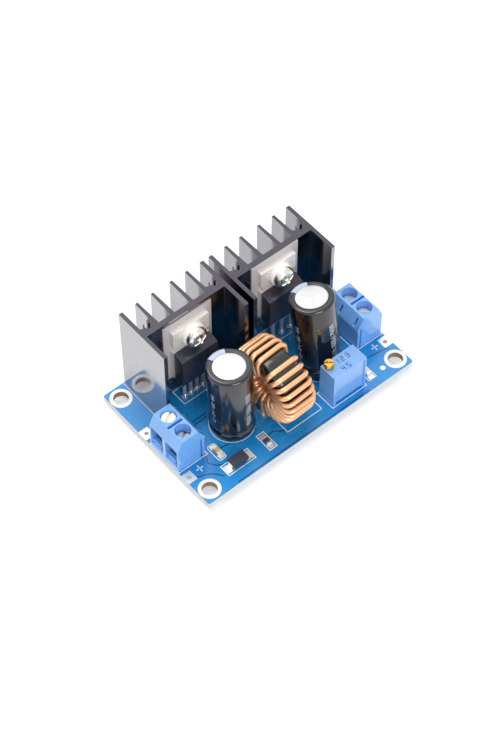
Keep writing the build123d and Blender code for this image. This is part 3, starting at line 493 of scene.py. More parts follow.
def build_round_shading():
    """Shades faces smoothly, but keeps each edge sharp that turns by more than an angle."""
    group = bpy.data.node_groups.new("round_shading", "GeometryNodeTree")
    for way in ("INPUT", "OUTPUT"):
        group.interface.new_socket(name="Geometry", in_out=way, socket_type="NodeSocketGeometry")
    given, put = group.nodes.new("NodeGroupInput"), group.nodes.new("NodeGroupOutput")
    faces = add(group, "GeometryNodeSetShadeSmooth")
    edges = add(group, "GeometryNodeSetShadeSmooth", domain="EDGE", Shade_Smooth=False)
    angle = add(group, "GeometryNodeInputMeshEdgeAngle")
    sharp = combine(group, "GREATER_THAN", angle.outputs["Unsigned Angle"], SHARP_ANGLE)
    join(group, sharp, edges.inputs["Selection"])
    for one, two in ((given, faces), (faces, edges), (edges, put)):
        join(group, one.outputs["Geometry"], two.inputs["Geometry"])
    return group


round_shading = build_round_shading()
print("modifier group:", round_shading.name)

# %% Give the finishes and soften the edges
EDGES = ((0.08, ("circuit_board", "body")), (0.14, ("terminal_housing", "trimmer_housing")),
         (0.06, ("heatsink", "tab")))
OTHER_EDGES = 0.03


def dress(name):
    node = nodes[name]
    node.data.materials.clear()
    node.data.materials.append(by_ending(FINISHES, name))
    weld = node.modifiers.new("weld", "WELD")
    weld.merge_threshold = 0.001 * MM
    rounding = node.modifiers.new("rounding", "NODES")
    rounding.node_group = round_shading
    bevel = node.modifiers.new("edges", "BEVEL")
    bevel.width = by_ending(EDGES, name, OTHER_EDGES) * MM
    bevel.segments = 2
    bevel.limit_method = "ANGLE"
    bevel.angle_limit = SHARP_ANGLE
    bevel.use_clamp_overlap = True
    bevel.harden_normals = True


for name in nodes:
    dress(name)
print("dressed", len(nodes), "nodes")

# %% [markdown]
# ## Small makers for new pieces
#
# New pieces are meshes built in code. Each is linked, given its finish and set to ride on
# the body it belongs to.

# %% Make a piece from a bmesh
def new_piece(name, mesh_data, material, body=BODY, smooth=True):
    """Turns a bmesh, drawn in millimetres, into a named piece that rides on a body."""
    bmesh.ops.scale(mesh_data, vec=(MM, MM, MM), verts=mesh_data.verts)
    bmesh.ops.recalc_face_normals(mesh_data, faces=mesh_data.faces)
    mesh = bpy.data.meshes.new(name)
    mesh_data.to_mesh(mesh)
    mesh_data.free()
    for face in mesh.polygons:
        face.use_smooth = smooth
    mesh.materials.append(material)
    piece = bpy.data.objects.new(name, mesh)
    bpy.context.scene.collection.objects.link(piece)
    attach(piece, body)
    print(name, "has", len(mesh.polygons), "faces")
    return piece


def on_circle(radius, step, steps):
    """X and y of one of the points that share out a circle."""
    angle = 2 * math.pi * step / steps
    return radius * math.cos(angle), radius * math.sin(angle)


def lathe(mesh_data, profile, place, steps, closed=False):
    """Turns (radius, height) pairs about a point or a matrix, and gives back rows of faces."""
    if not isinstance(place, Matrix):
        place = Matrix.Translation(Vector(place))
    rings = []
    for radius, height in profile:
        if radius < 1e-6:
            rings.append([mesh_data.verts.new(place @ Vector((0, 0, height)))])
            continue
        rings.append([mesh_data.verts.new(place @ Vector((*on_circle(radius, step, steps), height)))
                      for step in range(steps)])
    rows = []
    for lower, upper in zip(rings, rings[1:] + rings[:1] if closed else rings[1:]):
        row = []
        for step in range(steps):
            after = (step + 1) % steps
            corners = [lower[step], lower[after]] if len(lower) > 1 else [lower[0]]
            corners += [upper[after], upper[step]] if len(upper) > 1 else [upper[0]]
            row.append(mesh_data.faces.new(corners))
        rows.append(row)
    return rows


def soften(outline, radii, steps=4):
    """Rounds the corners of a closed outline, each by its own radius."""
    points = []
    for index, (corner, radius) in enumerate(zip(outline, radii)):
        corner = Vector(corner)
        if radius == 0:
            points.append(tuple(corner))
            continue
        before, after = Vector(outline[index - 1]), Vector(outline[(index + 1) % len(outline)])
        start = corner + (before - corner).normalized() * radius
        end = corner + (after - corner).normalized() * radius
        for step in range(steps + 1):
            t = step / steps
            points.append(tuple(start * (1 - t) ** 2 + corner * 2 * t * (1 - t) + end * t ** 2))
    return points


print("makers ready")

# %% [markdown]
# ## The ring core
#
# A toroid core is pressed from iron powder and dipped in enamel, so it has no sharp edge
# anywhere. The solid model cuts its edges straight, and here a rounded outline is turned
# round the ring's axis instead, in many steps, so that the enamel's highlight runs clean.

# %% Turn the core
CORE_PLACE = Vector((-2.25, -7.8, 13.12))
CORE_LEAN = math.radians(-4.4)
CORE_INNER, CORE_OUTER, CORE_HALF_WIDTH, CORE_ROUNDING = 4.8, 8.8, 3.3, 1.2
ring_frame = Matrix.Translation(CORE_PLACE) @ Matrix.Rotation(CORE_LEAN, 4, "Y")
core_section = [(CORE_INNER, -CORE_HALF_WIDTH), (CORE_OUTER, -CORE_HALF_WIDTH),
                (CORE_OUTER, CORE_HALF_WIDTH), (CORE_INNER, CORE_HALF_WIDTH)]
core_mesh = bmesh.new()
lathe(core_mesh, soften(core_section, [CORE_ROUNDING] * 4, 6),
      ring_frame @ Matrix.Rotation(math.pi / 2, 4, "Y"), steps=144, closed=True)
core = new_piece("enamelled_core", core_mesh, core_enamel)
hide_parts("inductor_core")

# %% [markdown]
# ## The winding
#
# The solid model's wire has six flat sides, which is right for its weight and its place
# but not for the way copper shines. The real wire is round and was wound by hand, so this
# cell follows the same path with a round section and small uneven steps. A tube swept along
# points, with one frame for each point, keeps the section from twisting.

# %% The wire's path in the ring's frame
WIRE_RADIUS, BEND_RADIUS, BEND_STEPS, WIRE_SIDES = 0.6, 1.5, 7, 14
INNER_STAGGER, SLIP = 0.7, 0.9
HALF_WIDTH = CORE_HALF_WIDTH + WIRE_RADIUS
OUTER_RADIUS = CORE_OUTER + WIRE_RADIUS
INNER_RADIUS = CORE_INNER - WIRE_RADIUS
FAR_START, FAR_PITCH, FAR_TURNS = -163.0, 13.3, 13
TOP_GAP, NEAR_PITCH, NEAR_TURNS = 25.5, 13.0, 12
far_angles = [FAR_START + FAR_PITCH * i for i in range(FAR_TURNS)]
near_angles = [far_angles[-1] + TOP_GAP + NEAR_PITCH * i for i in range(NEAR_TURNS)]
turn_angles = far_angles + near_angles


def wander(number, seed):
    """A small, repeatable unevenness between -1 and 1."""
    return math.sin(number * 12.9898 + seed * 78.233) * math.cos(number * 4.1414 + seed * 37.719)


def ring_point(x, radius, angle):
    turned = math.radians(angle)
    return ring_frame @ Vector((x, -radius * math.sin(turned), radius * math.cos(turned)))


def bend(side, radius, inward, angle, entering):
    """The rounded corner of a turn, from or towards the straight across the core."""
    points = []
    for step in range(BEND_STEPS + 1):
        swing = math.pi / 2 * step / BEND_STEPS
        swing = swing if entering else math.pi / 2 - swing
        x = side * (HALF_WIDTH - BEND_RADIUS + BEND_RADIUS * math.sin(swing))
        r = radius + inward * BEND_RADIUS * (1 - math.cos(swing))
        points.append((x, r, angle))
    return points


def wire_path():
    """Every point of the wire from the board, round the core and back."""
    path = []
    angles = [-180.0] + turn_angles + [180.0]
    path += bend(1, INNER_RADIUS, 1, angles[0], False)
    path += bend(-1, INNER_RADIUS, 1, angles[1], True)
    for number in range(1, len(angles) - 1):
        here, after = angles[number], angles[number + 1]
        slipped = here + SLIP * wander(number, 1.0)
        bore = INNER_RADIUS - INNER_STAGGER * (number % 2)
        path += bend(-1, OUTER_RADIUS, -1, here, False) + bend(1, OUTER_RADIUS, -1, slipped, True)
        path += bend(1, bore, 1, slipped, False) + bend(-1, bore, 1, after, True)
    points = [ring_point(*point) for point in path]
    start, end = wire_ends
    lead = (BOARD_BOTTOM, BOARD_TOP + 0.3)
    head = [Vector((start.x, start.y, z)) for z in lead]
    tail = [Vector((end.x, end.y, z)) for z in reversed(lead)]
    return head + points + tail


wire_ends = [ring_frame @ Vector((side * HALF_WIDTH, 0, -OUTER_RADIUS)) for side in (1, -1)]
path = wire_path()
length = sum((b - a).length for a, b in zip(path, path[1:]))
print(len(path), "points,", round(length), "mm of wire")

# %% Sweep a round section along the path
def sweep_tube(mesh_data, path, radius, sides):
    """A tube along points, whose frames are carried along so that it never twists."""
    rings, across = [], None
    for index, point in enumerate(path):
        before = path[max(index - 1, 0)]
        after = path[min(index + 1, len(path) - 1)]
        ahead = (after - before).normalized()
        if across is None:
            across = ahead.orthogonal().normalized()
        across = (across - ahead * across.dot(ahead)).normalized()
        upward = ahead.cross(across)
        ring = []
        for side in range(sides):
            angle = 2 * math.pi * side / sides
            outward = across * math.cos(angle) + upward * math.sin(angle)
            ring.append(mesh_data.verts.new(point + outward * radius))
        rings.append(ring)
    for lower, upper in zip(rings, rings[1:]):
        for side in range(sides):
            after = (side + 1) % sides
            mesh_data.faces.new((lower[side], lower[after], upper[after], upper[side]))
    mesh_data.faces.new(rings[0])
    mesh_data.faces.new(reversed(rings[-1]))


wire_mesh = bmesh.new()
sweep_tube(wire_mesh, path, WIRE_RADIUS, WIRE_SIDES)
winding = new_piece("copper_winding", wire_mesh, enamelled_wire)
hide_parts("inductor_winding")

# %% [markdown]
# ## Shrink sleeves
#
# Each capacitor wears a thin printed film that was shrunk on with hot air. It follows the
# can's crimp near the foot and turns in over the top edge, where it leaves a round window.
# One outline with an outer and an inner side, turned in many steps, makes that film. A pale
# stripe marks the negative side, so some of its faces take a second finish.

# %% Outline of the film
CAN_RADIUS, SLEEVE_HEIGHT, FILM, RIM = 5.2, 20.8, 0.2, 0.7
CRIMP_MIDDLE, CRIMP_REACH, CRIMP_DEPTH = 2.2, 0.8, 0.35
WINDOW_RADIUS, FOOT_RADIUS = 3.65, 4.6
SIDE_FROM, STRAIGHT_FROM, SIDE_TO = 0.35, 3.6, SLEEVE_HEIGHT - RIM


def side_of_film(radius, steps=8):
    """Up the side, with the crimp's soft groove."""
    points = [(radius, SIDE_FROM)]
    for step in range(steps + 1):
        groove = CRIMP_DEPTH * (1 - math.cos(2 * math.pi * step / steps)) / 2
        height = CRIMP_MIDDLE - CRIMP_REACH + 2 * CRIMP_REACH * step / steps
        points.append((radius - groove, height))
    straight = SIDE_TO - STRAIGHT_FROM
    return points + [(radius, STRAIGHT_FROM + straight * share) for share in (0.0, 0.33, 0.67, 1.0)]


def rim_of_film(radius, top, rounding, steps=6):
    """Round the top edge, from the side to the window."""
    points = []
    for step in range(1, steps + 1):
        arc = math.pi / 2 * step / steps
        inward, down = 1 - math.cos(arc), 1 - math.sin(arc)
        points.append((radius - rounding * inward, top - rounding * down))
    return points + [(WINDOW_RADIUS + 0.35, top), (WINDOW_RADIUS + 0.06, top - 0.02)]


FILM_BORE = CAN_RADIUS - FILM
outer_side = side_of_film(CAN_RADIUS) + rim_of_film(CAN_RADIUS, SLEEVE_HEIGHT, RIM)
inner_side = side_of_film(FILM_BORE)
inner_side += rim_of_film(FILM_BORE, SLEEVE_HEIGHT - 0.17, 0.5)
film_outline = [(FOOT_RADIUS, 0.0), (5.05, 0.06)] + outer_side + inner_side[::-1]
film_outline.append((FOOT_RADIUS, 0.18))
print(len(film_outline), "points round the film")

# %% Shrink the film on
STRIPE_FROM, STRIPE_TO, SLEEVE_STEPS = 62, 116, 120
INPUT_CAN, OUTPUT_CAN = (-12.5, -5.6), (13.2, -5.6)


def leaning(middle, foot, back, aside):
    """The place of a can that stands on its foot and leans by two angles in degrees."""
    back = Matrix.Rotation(math.radians(back), 4, "X")
    aside = Matrix.Rotation(math.radians(aside), 4, "Y")
    return Matrix.Translation((*middle, foot)) @ back @ aside


can_frames = {"input": leaning(INPUT_CAN, 3.11322, -1.65, -0.7),
              "output": leaning(OUTPUT_CAN, 3.78956, -9.1, -0.75)}
for end, place in can_frames.items():
    film_mesh = bmesh.new()
    rows = lathe(film_mesh, film_outline, place, steps=SLEEVE_STEPS, closed=True)
    for row in rows:
        for step, face in enumerate(row):
            if STRIPE_FROM <= 360 * step / SLEEVE_STEPS < STRIPE_TO:
                face.material_index = 1
    sleeve = new_piece(end + "_shrink_sleeve", film_mesh, shrink_film)
    sleeve.data.materials.append(stripe_film)
    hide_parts(end + "_capacitor_sleeve")

# %% [markdown]
# ## Plain marks on the film
#
# The film carries small print in columns. Plain figures take its place: they are drawn as
# short strokes, like those of a counter, and laid round the can as thin patches.

# %% Figures made of strokes
STROKES = {
    "a": ((0, 2), (1, 2)), "b": ((1, 2), (1, 1)), "c": ((1, 1), (1, 0)), "d": ((0, 0), (1, 0)),
    "e": ((0, 1), (0, 0)), "f": ((0, 2), (0, 1)), "g": ((0, 1), (1, 1)),
}
FIGURES = {"0": "abcdef", "1": "bc", "2": "abged", "3": "abgcd", "4": "fgbc", "5": "afgcd",
           "6": "afgecd", "8": "abcdefg", "-": "g"}


def draw_figures(mesh_data, text, size, width, spacing, lay):
    """Draws a row of figures. lay(along, up) gives a point on the surface, in millimetres."""
    for index, figure in enumerate(text):
        for stroke in FIGURES[figure]:
            (x0, y0), (x1, y1) = STROKES[stroke]
            a = Vector((index * spacing + x0 * size, y0 * size))
            b = Vector((index * spacing + x1 * size, y1 * size))
            ahead = (b - a).normalized()
            aside = Vector((-ahead.y, ahead.x)) * width / 2
            a, b = a - ahead * width / 2, b + ahead * width / 2
            pairs = [(spot + aside, spot - aside) for spot in (a, (a + b) / 2, b)]
            made = [[mesh_data.verts.new(lay(*spot)) for spot in pair] for pair in pairs]
            for lower, upper in zip(made, made[1:]):
                mesh_data.faces.new((lower[0], lower[1], upper[1], upper[0]))


PRINT_RADIUS = CAN_RADIUS + 0.012


def round_can(place, azimuth, foot):
    """A column that runs up the can: the row of figures climbs, with their tops to the left."""
    def lay(along, up):
        angle = math.radians(azimuth) - up / PRINT_RADIUS
        around = (PRINT_RADIUS * math.cos(angle), PRINT_RADIUS * math.sin(angle))
        return place @ Vector((*around, foot + along))
    return lay


print("figures:", sorted(FIGURES))

# %% Print the films
COLUMNS = ((285, 4.4, "1234-5680-1234", 0.34), (278, 4.4, "8056-4321-8056", 0.34),
           (188, 5.0, "12-34-56-80", 0.42))
STROKE_WIDTH, SPACING = 0.12, 2.3
DASHES, DASH_PITCH, DASH_AZIMUTH, DASH_WIDTH = 5, 3.6, 94, 0.5
for end, place in can_frames.items():
    print_mesh, dash_mesh = bmesh.new(), bmesh.new()
    for azimuth, foot, text, size in COLUMNS:
        column = round_can(place, azimuth, foot)
        draw_figures(print_mesh, text, size, STROKE_WIDTH, SPACING * size, column)
    for number in range(1, DASHES + 1):
        column = round_can(place, DASH_AZIMUTH, DASH_PITCH * number)
        draw_figures(dash_mesh, "-", 1.0, DASH_WIDTH, SPACING, column)
    new_piece(end + "_film_marks", print_mesh, film_ink, smooth=False)
    new_piece(end + "_stripe_marks", dash_mesh, blue_ink, smooth=False)

# %% [markdown]
# ## Bushes and screws
#
# A screw head is a round form with a cut in it. Cutting solids from each other leaves long
# thin faces that shade badly, so each head is a height map on a polar grid: the crown's
# height, less the depth of the recess at that spot. The walls and the shank below it are
# turned.

# %% Heads as height maps
def polar_head(mesh_data, place, radius, foot, height_at, rings=34, steps=128):
    """A head from its foot to the heights that height_at(x, y, share) gives."""
    middle = mesh_data.verts.new(place @ Vector((0, 0, height_at(0, 0, 0))))
    grid = []
    for ring in range(1, rings + 1):
        share = ring / rings
        row = []
        for step in range(steps):
            x, y = on_circle(radius * share, step, steps)
            row.append(mesh_data.verts.new(place @ Vector((x, y, height_at(x, y, share)))))
        grid.append(row)
    grid.append([mesh_data.verts.new(place @ Vector((*on_circle(radius, step, steps), foot)))
                 for step in range(steps)])
    for step in range(steps):
        mesh_data.faces.new((middle, grid[0][step], grid[0][(step + 1) % steps]))
    for lower, upper in zip(grid, grid[1:]):
        for step in range(steps):
            after = (step + 1) % steps
            mesh_data.faces.new((lower[step], upper[step], upper[after], lower[after]))


def share_inside(distance, limit, soft):
    """1 inside a limit, 0 outside, with a soft step between."""
    return min(1.0, max(0.0, (limit - distance) / soft + 0.5))


def slot_depth(x, y, angle, width, length, depth, soft=0.1):
    """How deep a straight slot is at a spot."""
    turned = math.radians(angle)
    along = abs(x * math.cos(turned) + y * math.sin(turned))
    across = abs(-x * math.sin(turned) + y * math.cos(turned))
    return depth * share_inside(across, width / 2, soft) * share_inside(along, length / 2, soft * 3)


print("head makers ready")

# %% Bushes and pan-head screws
TAB_FRONT = 8.25
TAB_HOLES = {"left": (-12.45, 22.4), "right": (12.45, 23.3)}
BUSH_SECTION = [(1.5, -1.3), (1.8, -1.3), (1.8, 0.0), (2.95, 0.0), (2.95, 1.4), (1.5, 1.4)]
BUSH_ROUNDING = [0, 0.1, 0, 0.12, 0.55, 0.2]
HEAD_RADIUS, HEAD_FOOT, WALL_TOP, CROWN = 2.6, 1.4, 2.1, 1.2
CROSS_ANGLE, CROSS = 25, (0.75, 3.0, 1.1, 0.16)
SHANK = [(0.0, -4.45), (1.2, -4.45), (1.45, -4.2), (1.45, HEAD_FOOT), (HEAD_RADIUS, HEAD_FOOT)]


def pan_head(x, y, share):
    """A low crown, less the deeper one of the two cuts of the cross."""
    crown = WALL_TOP + CROWN * max(0.0, 1 - share ** 2.6) ** 0.6
    return crown - max(slot_depth(x, y, CROSS_ANGLE + quarter, *CROSS) for quarter in (0, 90))


sink_mesh = bmesh.new()
for side, (x, z) in TAB_HOLES.items():
    front = Matrix.Translation((x, TAB_FRONT, z)) @ Matrix.Rotation(math.pi / 2, 4, "X")
    bush_mesh = bmesh.new()
    lathe(bush_mesh, soften(BUSH_SECTION, BUSH_ROUNDING), front, steps=72, closed=True)
    bush = new_piece(side + "_bush", bush_mesh, ivory_nylon)
    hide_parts(side + "_insulating_bush")
    polar_head(sink_mesh, front, HEAD_RADIUS, HEAD_FOOT, pan_head)
    lathe(sink_mesh, SHANK, front, steps=48)
sink_screws = new_piece("sink_screws", sink_mesh, zinc_steel)
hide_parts("heatsink_screws")

# %% Slotted screws of the terminals and the trimmer
def slotted_screw(name, node, body, material, head_height, shank_radius, cut, angle):
    """A flat slotted head and its shank, in the box of the solid screw that it stands for."""
    low, high = (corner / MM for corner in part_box(node))
    middle = (low + high) / 2
    radius, top = (high.x - low.x) / 2, high.z
    foot = top - head_height
    width, depth = cut
    place = Matrix.Translation((middle.x, middle.y, 0))
    mesh_data = bmesh.new()

    def head(x, y, share):
        rounding = 0.16 * max(0.0, (share - 0.86) / 0.14) ** 2
        return top - rounding - slot_depth(x, y, angle, width, 3 * radius, depth, 0.08)

    polar_head(mesh_data, place, radius, foot, head, rings=26, steps=96)
    shank = [(0.0, low.z), (shank_radius, low.z), (shank_radius, foot), (radius, foot)]
    lathe(mesh_data, shank, place, steps=32)
    screw = new_piece(name, mesh_data, material, body)
    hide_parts(node)
    print(name, "radius", round(radius, 2), "top", round(top, 2))


for end, angle in (("input", 35), ("output", 145)):
    for number in ("1", "2"):
        slotted_screw(f"{end}_pole_screw_{number}", f"{end}_terminal_screw_{number}",
                      f"{end}_screw_{number}", clamp_metal,
                      head_height=1.2, shank_radius=1.25, cut=(0.55, 0.6), angle=angle)
slotted_screw("trimmer_head", "trimmer_screw", "trimmer_adjuster", turned_brass,
              head_height=1.6, shank_radius=0.6, cut=(0.4, 0.6), angle=-40)

# %% [markdown]
# ## Solder
#
# Solder wets the lead and the pad and pulls itself into a hollow cone between them. A
# turned profile that curves in gives that shape, much smoother than the solid model's
# six-sided stand-ins. Each lead is listed by x, y and radius, and those of the two power
# devices get a dome on top of the board as well.

# %% Hollow cones round the leads
def solder_profile(lead_radius, pad_radius, height, steps=7):
    """Points from the pad's rim up to the trimmed lead's tip, curving inwards."""
    points = []
    for step in range(steps + 1):
        share = step / steps
        radius = lead_radius + (pad_radius - lead_radius) * (1 - share) ** 1.9
        points.append((radius, height * share))
    return points + [(0.75 * lead_radius, height * 1.12), (0.0, height * 1.17)]


DEVICE_ROWS = ((-15.95, 5, 1.75), (9.91, 3, 2.54))
DEVICE_LEADS = [(first + i * pitch, 6.95, 0.48) for first, count, pitch in DEVICE_ROWS
                for i in range(count)]
CAN_LEADS = [(x + side, y, 0.3) for x, y in (INPUT_CAN, OUTPUT_CAN) for side in (-2.5, 2.5)]
COIL_LEADS = [(end.x, end.y, 0.5) for end in wire_ends]
TRIMMER_PINS = [(12.35 + i * 2.54, -14.2, 0.25) for i in (-1, 0, 1)]
TERMINAL_PINS = [(x, y, 0.6) for x in (-24.45, 24.45) for y in (-5.55, -0.55)]


def heatsink_pins():
    """The two pins of each heatsink stand at the ends of their box."""
    places = []
    for name in ("left_heatsink_pins", "right_heatsink_pins"):
        low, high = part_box(name)
        middle = (low.y + high.y) / 2 / MM
        reach = (high.y - low.y) / 2 / MM
        places += [(low.x / MM + reach, middle, reach), (high.x / MM - reach, middle, reach)]
    return places


DOME = [(0.86, 0), (0.84, 0.18), (0.76, 0.4), (0.62, 0.62), (0.5, 0.8), (0.42, 0.95), (0.0, 1.0)]
PAD_MARGIN, CONE_HEIGHT, CLEAR = 0.65, 1.0, 0.01
solder_mesh = bmesh.new()
leads = DEVICE_LEADS + CAN_LEADS + COIL_LEADS + TRIMMER_PINS + TERMINAL_PINS + heatsink_pins()
for x, y, radius in leads:
    below = Matrix.Translation((x, y, BOARD_BOTTOM - CLEAR)) @ Matrix.Rotation(math.pi, 4, "X")
    cone = solder_profile(radius, radius + PAD_MARGIN, CONE_HEIGHT)
    lathe(solder_mesh, cone, below, steps=20)
for x, y, radius in DEVICE_LEADS:
    lathe(solder_mesh, DOME, (x, y, BOARD_TOP + CLEAR), steps=20)
solder = new_piece("solder_fillets", solder_mesh, bright_solder)
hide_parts("solder_joints")
print("solder at", len(leads), "leads")

# %% [markdown]
# ## Printed lines on the board
#
# White ink is printed over the lacquer: an outline round each part, a ring under each
# capacitor, crosses for the positive wires. The ink is only a few hundredths thick, so thin
# flat ribbons just over the board do it well.

# %% Draw ribbons and rings
INK_Z = BOARD_TOP + 0.012


def ribbon(mesh_data, points, width=0.2, closed=False, level=INK_Z):
    """A flat line of even width through points, with square mitred corners."""
    points = [Vector((x, y, 0)) for x, y in points]
    count = len(points)
    rows = []
    for index, point in enumerate(points):
        ways = []
        if closed or index:
            ways.append((point - points[index - 1]).normalized())
        if closed or index < count - 1:
            ways.append((points[(index + 1) % count] - point).normalized())
        normals = [Vector((-way.y, way.x, 0)) for way in ways]
        normal = sum(normals, Vector()).normalized()
        reach = width / 2 / max(0.35, normal.dot(normals[0]))
        rows.append([mesh_data.verts.new(point + normal * reach * side + Vector((0, 0, level)))
                     for side in (1, -1)])
    pairs = list(zip(rows, rows[1:])) + ([(rows[-1], rows[0])] if closed else [])
    for a, b in pairs:
        mesh_data.faces.new((a[0], a[1], b[1], b[0]))


def frame_line(mesh_data, low, high):
    (left, near), (right, far) = low, high
    ribbon(mesh_data, [(left, near), (right, near), (right, far), (left, far)], closed=True)


def ring_line(mesh_data, centre, radius, steps=64):
    circle = [on_circle(radius, step, steps) for step in range(steps)]
    ribbon(mesh_data, [(centre[0] + x, centre[1] + y) for x, y in circle], closed=True)


def cross(mesh_data, x, y, size=0.95, width=0.26):
    ribbon(mesh_data, [(x - size, y), (x + size, y)], width)
    ribbon(mesh_data, [(x, y - size), (x, y + size)], width)


print("ink lies at", round(INK_Z, 3), "mm")

# %% [markdown]
# ## Rings and plated holes
#
# Each mounting hole has a white ring on both sides of the board. The wire holes are plated
# right through, so a thin bright wall joins their pads, and a bare pad shows beside the
# coil. These are thin turned walls and one short wide ribbon.

# %% Rings round the mounting holes
ring_low, ring_high = (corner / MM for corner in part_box("mounting_hole_rings"))
RING_OUTER, RING_INNER, RING_HEIGHT = 2.6, 1.8, 0.05
RING_SECTION = [(RING_INNER, 0), (RING_OUTER, 0), (RING_OUTER, RING_HEIGHT),
                (RING_INNER, RING_HEIGHT)]
rings_mesh = bmesh.new()
for x in (ring_low.x + RING_OUTER, ring_high.x - RING_OUTER):
    for y in (ring_low.y + RING_OUTER, ring_high.y - RING_OUTER):
        for foot in (BOARD_TOP, BOARD_BOTTOM - RING_HEIGHT):
            lathe(rings_mesh, RING_SECTION, (x, y, foot), steps=72, closed=True)
hole_rings = new_piece("hole_rings", rings_mesh, white_ink, smooth=False)
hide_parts("mounting_hole_rings")

# %% Plated walls of the wire holes, and the coil's pad
pads_low, pads_high = (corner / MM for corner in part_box("wire_pads"))
PAD_WIDTH, PAD_LENGTH = 2.4, 2.8
BORE, PLATED, WALL_HEIGHT = 0.53, 0.62, BOARD_THICKNESS + 0.04
WALL = [(BORE, 0), (PLATED, 0), (PLATED, WALL_HEIGHT), (BORE, WALL_HEIGHT)]
COIL_PAD, COIL_PAD_WIDTH = [(-5.4, -9.35), (-5.4, -6.35)], 1.2
plating_mesh = bmesh.new()
for x in (pads_low.x + PAD_WIDTH / 2, pads_high.x - PAD_WIDTH / 2):
    for y in (pads_low.y + PAD_LENGTH / 2, pads_high.y - PAD_LENGTH / 2):
        lathe(plating_mesh, WALL, (x, y, BOARD_BOTTOM), steps=32, closed=True)
ribbon(plating_mesh, COIL_PAD, COIL_PAD_WIDTH, level=BOARD_TOP + 0.03)
new_piece("hole_plating", plating_mesh, tinned, smooth=False)

# %% Print the board
FRAMES = [
    ((-4.6, -15.3), (5.35, -0.6)), ((-29.8, -8.3), (-21.9, 2.0)), ((21.9, -8.3), (29.8, 2.0)),
    ((7.3, -16.9), (17.4, -11.5)), ((-17.3, 5.3), (-7.6, 9.6)), ((7.6, 5.3), (17.3, 9.6)),
    ((-21.9, -15.85), (-14.3, -12.85)), ((-10.75, -16.5), (-8.7, -11.7)),
    ((18.65, -16.45), (20.75, -12.15)),
]
LINES = [((-24.3, 2.6), (-24.3, 18.5)), ((24.3, 2.6), (24.3, 18.5)),
         ((-26.3, 4.6), (-24.9, 4.6)), ((25.2, 4.6), (26.6, 4.6))]
CHIP_OUTLINE = [(-21.05, -11.6), (-19.0, -11.6), (-19.0, -6.95), (-21.05, -6.95)]
ink = bmesh.new()
for low, high in FRAMES:
    frame_line(ink, low, high)
for line in LINES:
    ribbon(ink, line)
ribbon(ink, soften(CHIP_OUTLINE, [0.7] * 4), closed=True)
ring_line(ink, (-12.6, -5.5), 5.15)
ring_line(ink, (13.15, -5.5), 5.2)
cross(ink, -25.6, -10.2)
cross(ink, 25.9, -10.2)
lathe(ink, [(0.65, 0.0), (0.0, 0.0)], (23.4, -15.71, INK_Z), steps=32)
new_piece("printed_lines", ink, white_ink, smooth=False)

# %% Gaps between copper areas, seen through the lacquer
GAP_Z, GAP_WIDTH = BOARD_TOP + 0.006, 0.34
GAPS = [
    [(-15.6, -0.4), (-17.0, -0.5), (-21.6, -0.4)],
    [(-22.5, -8.6), (-23.3, -10.2), (-22.45, -11.8), (-20.8, -12.9)],
    [(-27.6, -11.7), (-25.4, -12.4), (-24.1, -13.25), (-22.7, -15.2)],
    [(-16.2, -9.4), (-16.75, -9.25), (-18.6, -8.95), (-19.9, -9.0)],
    [(-15.0, 0.45), (-16.9, 0.4), (-20.0, 0.45)],
    [(-8.8, -13.18), (-7.08, -13.01), (-5.98, -13.75), (-4.6, -14.7)],
    [(-21.5, -18.35), (17.0, -18.35)],
    [(18.9, -7.5), (20.4, -9.6), (21.3, -11.2), (26.2, -11.9), (28.3, -12.2)],
]
gaps = bmesh.new()
for line in GAPS:
    ribbon(gaps, line, GAP_WIDTH, level=GAP_Z)
new_piece("copper_gaps", gaps, deep_lacquer, smooth=False)

# %% Plain figures on the trimmer
TRIMMER_ROWS = {"123": (10.9, -13.9), "45": (10.9, -16.1)}
trimmer_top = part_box("trimmer_housing")[1].z / MM


def flat_top(corner, level):
    """Lays a row on a level surface."""
    def lay(along, up):
        return Vector((corner[0] + along, corner[1] + up, level))
    return lay


figure_mesh = bmesh.new()
for row, corner in TRIMMER_ROWS.items():
    draw_figures(figure_mesh, row, 0.62, 0.16, 1.5, flat_top(corner, trimmer_top + 0.008))
new_piece("trimmer_marks", figure_mesh, blue_ink, smooth=False)
print("trimmer top at", round(trimmer_top, 2), "mm")

# %% [markdown]
# ## Floor and light
#
# The photograph has a white table and soft light from all round, with one broad lamp above
# and behind, one in front, and a weak one that level metal mirrors towards the camera. The
# floor is plain white. For the camera and for reflections it also glows a little, so that it
# reads white without more light on the object, and it still takes the object's soft shadow.

# %% Rays that meet the table and the sky directly
def empty_graph(owner, kind):
    """A cleared shader graph and its output node."""
    owner.use_nodes = True
    owner.node_tree.nodes.clear()
    return owner.node_tree, add(owner.node_tree, kind)


def show_directly(tree, lit, shown, out):
    """Rays from the camera, from glossy faces and through clear ones meet the second shader."""
    rays = add(tree, "ShaderNodeLightPath")
    seen = rays.outputs["Is Camera Ray"]
    for kind in ("Is Glossy Ray", "Is Transmission Ray"):
        seen = combine(tree, "MAXIMUM", seen, rays.outputs[kind])
    mix = add(tree, "ShaderNodeMixShader")
    join(tree, seen, mix.inputs[0])
    join(tree, lit.outputs[0], mix.inputs[1])
    join(tree, shown.outputs[0], mix.inputs[2])
    join(tree, mix.outputs[0], out.inputs["Surface"])


print("three kinds of ray see the white table and sky")

# %% Floor
FLOOR_REACH = 3.0


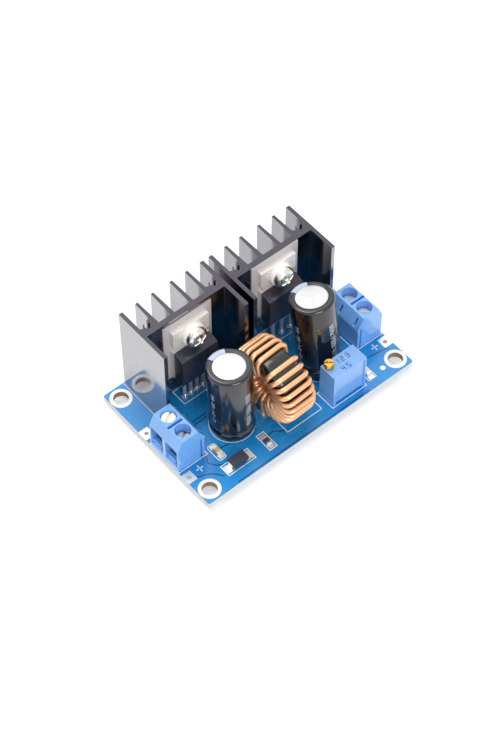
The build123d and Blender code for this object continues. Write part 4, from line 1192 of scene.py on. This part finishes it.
def build_floor():
    mesh = bpy.data.meshes.new("floor")
    square = ((-1, -1), (1, -1), (1, 1), (-1, 1))
    corners = [(x * FLOOR_REACH, y * FLOOR_REACH, 0) for x, y in square]
    mesh.from_pydata(corners, [], [(0, 1, 2, 3)])
    floor = bpy.data.objects.new("floor", mesh)
    bpy.context.scene.collection.objects.link(floor)
    material = bpy.data.materials.new("white_table")
    tree, out = empty_graph(material, "ShaderNodeOutputMaterial")
    lit = add(tree, "ShaderNodeBsdfDiffuse", Color=(0.86, 0.86, 0.86, 1))
    glow = add(tree, "ShaderNodeEmission", Color=(1, 1, 1, 1), Strength=0.36)
    both = add(tree, "ShaderNodeAddShader")
    join(tree, lit.outputs[0], both.inputs[0])
    join(tree, glow.outputs[0], both.inputs[1])
    show_directly(tree, lit, both, out)
    mesh.materials.append(material)
    return floor


floor = build_floor()
print("floor lies at", floor.location.z)

# %% Lamps and sky
LAMP_AIM = Vector((0, 0, 0.01))


def soft_lamp(name, place, size, power):
    """A square lamp at a place in metres, turned to the object."""
    lamp = bpy.data.objects.new(name, bpy.data.lights.new(name, "AREA"))
    lamp.data.shape = "SQUARE"
    lamp.data.size = size
    lamp.data.energy = power
    lamp.location = place
    lamp.rotation_euler = (LAMP_AIM - Vector(place)).to_track_quat("-Z", "Y").to_euler()
    bpy.context.scene.collection.objects.link(lamp)


soft_lamp("key_lamp", (-0.10, 0.35, 0.75), 0.5, 3.0)
soft_lamp("front_lamp", (-0.14, -0.68, 0.46), 0.4, 2.7)
soft_lamp("glint_lamp", (0.36, 0.42, 0.73), 0.4, 0.45)


def build_sky():
    world = bpy.data.worlds.new("studio")
    bpy.context.scene.world = world
    tree, out = empty_graph(world, "ShaderNodeOutputWorld")
    plain = add(tree, "ShaderNodeBackground", Color=(0.95, 0.97, 1.0, 1), Strength=0.56)
    white = add(tree, "ShaderNodeBackground", Color=(1, 1, 1, 1), Strength=1.0)
    show_directly(tree, plain, white, out)


build_sky()
bpy.context.scene.view_settings.view_transform = "Standard"
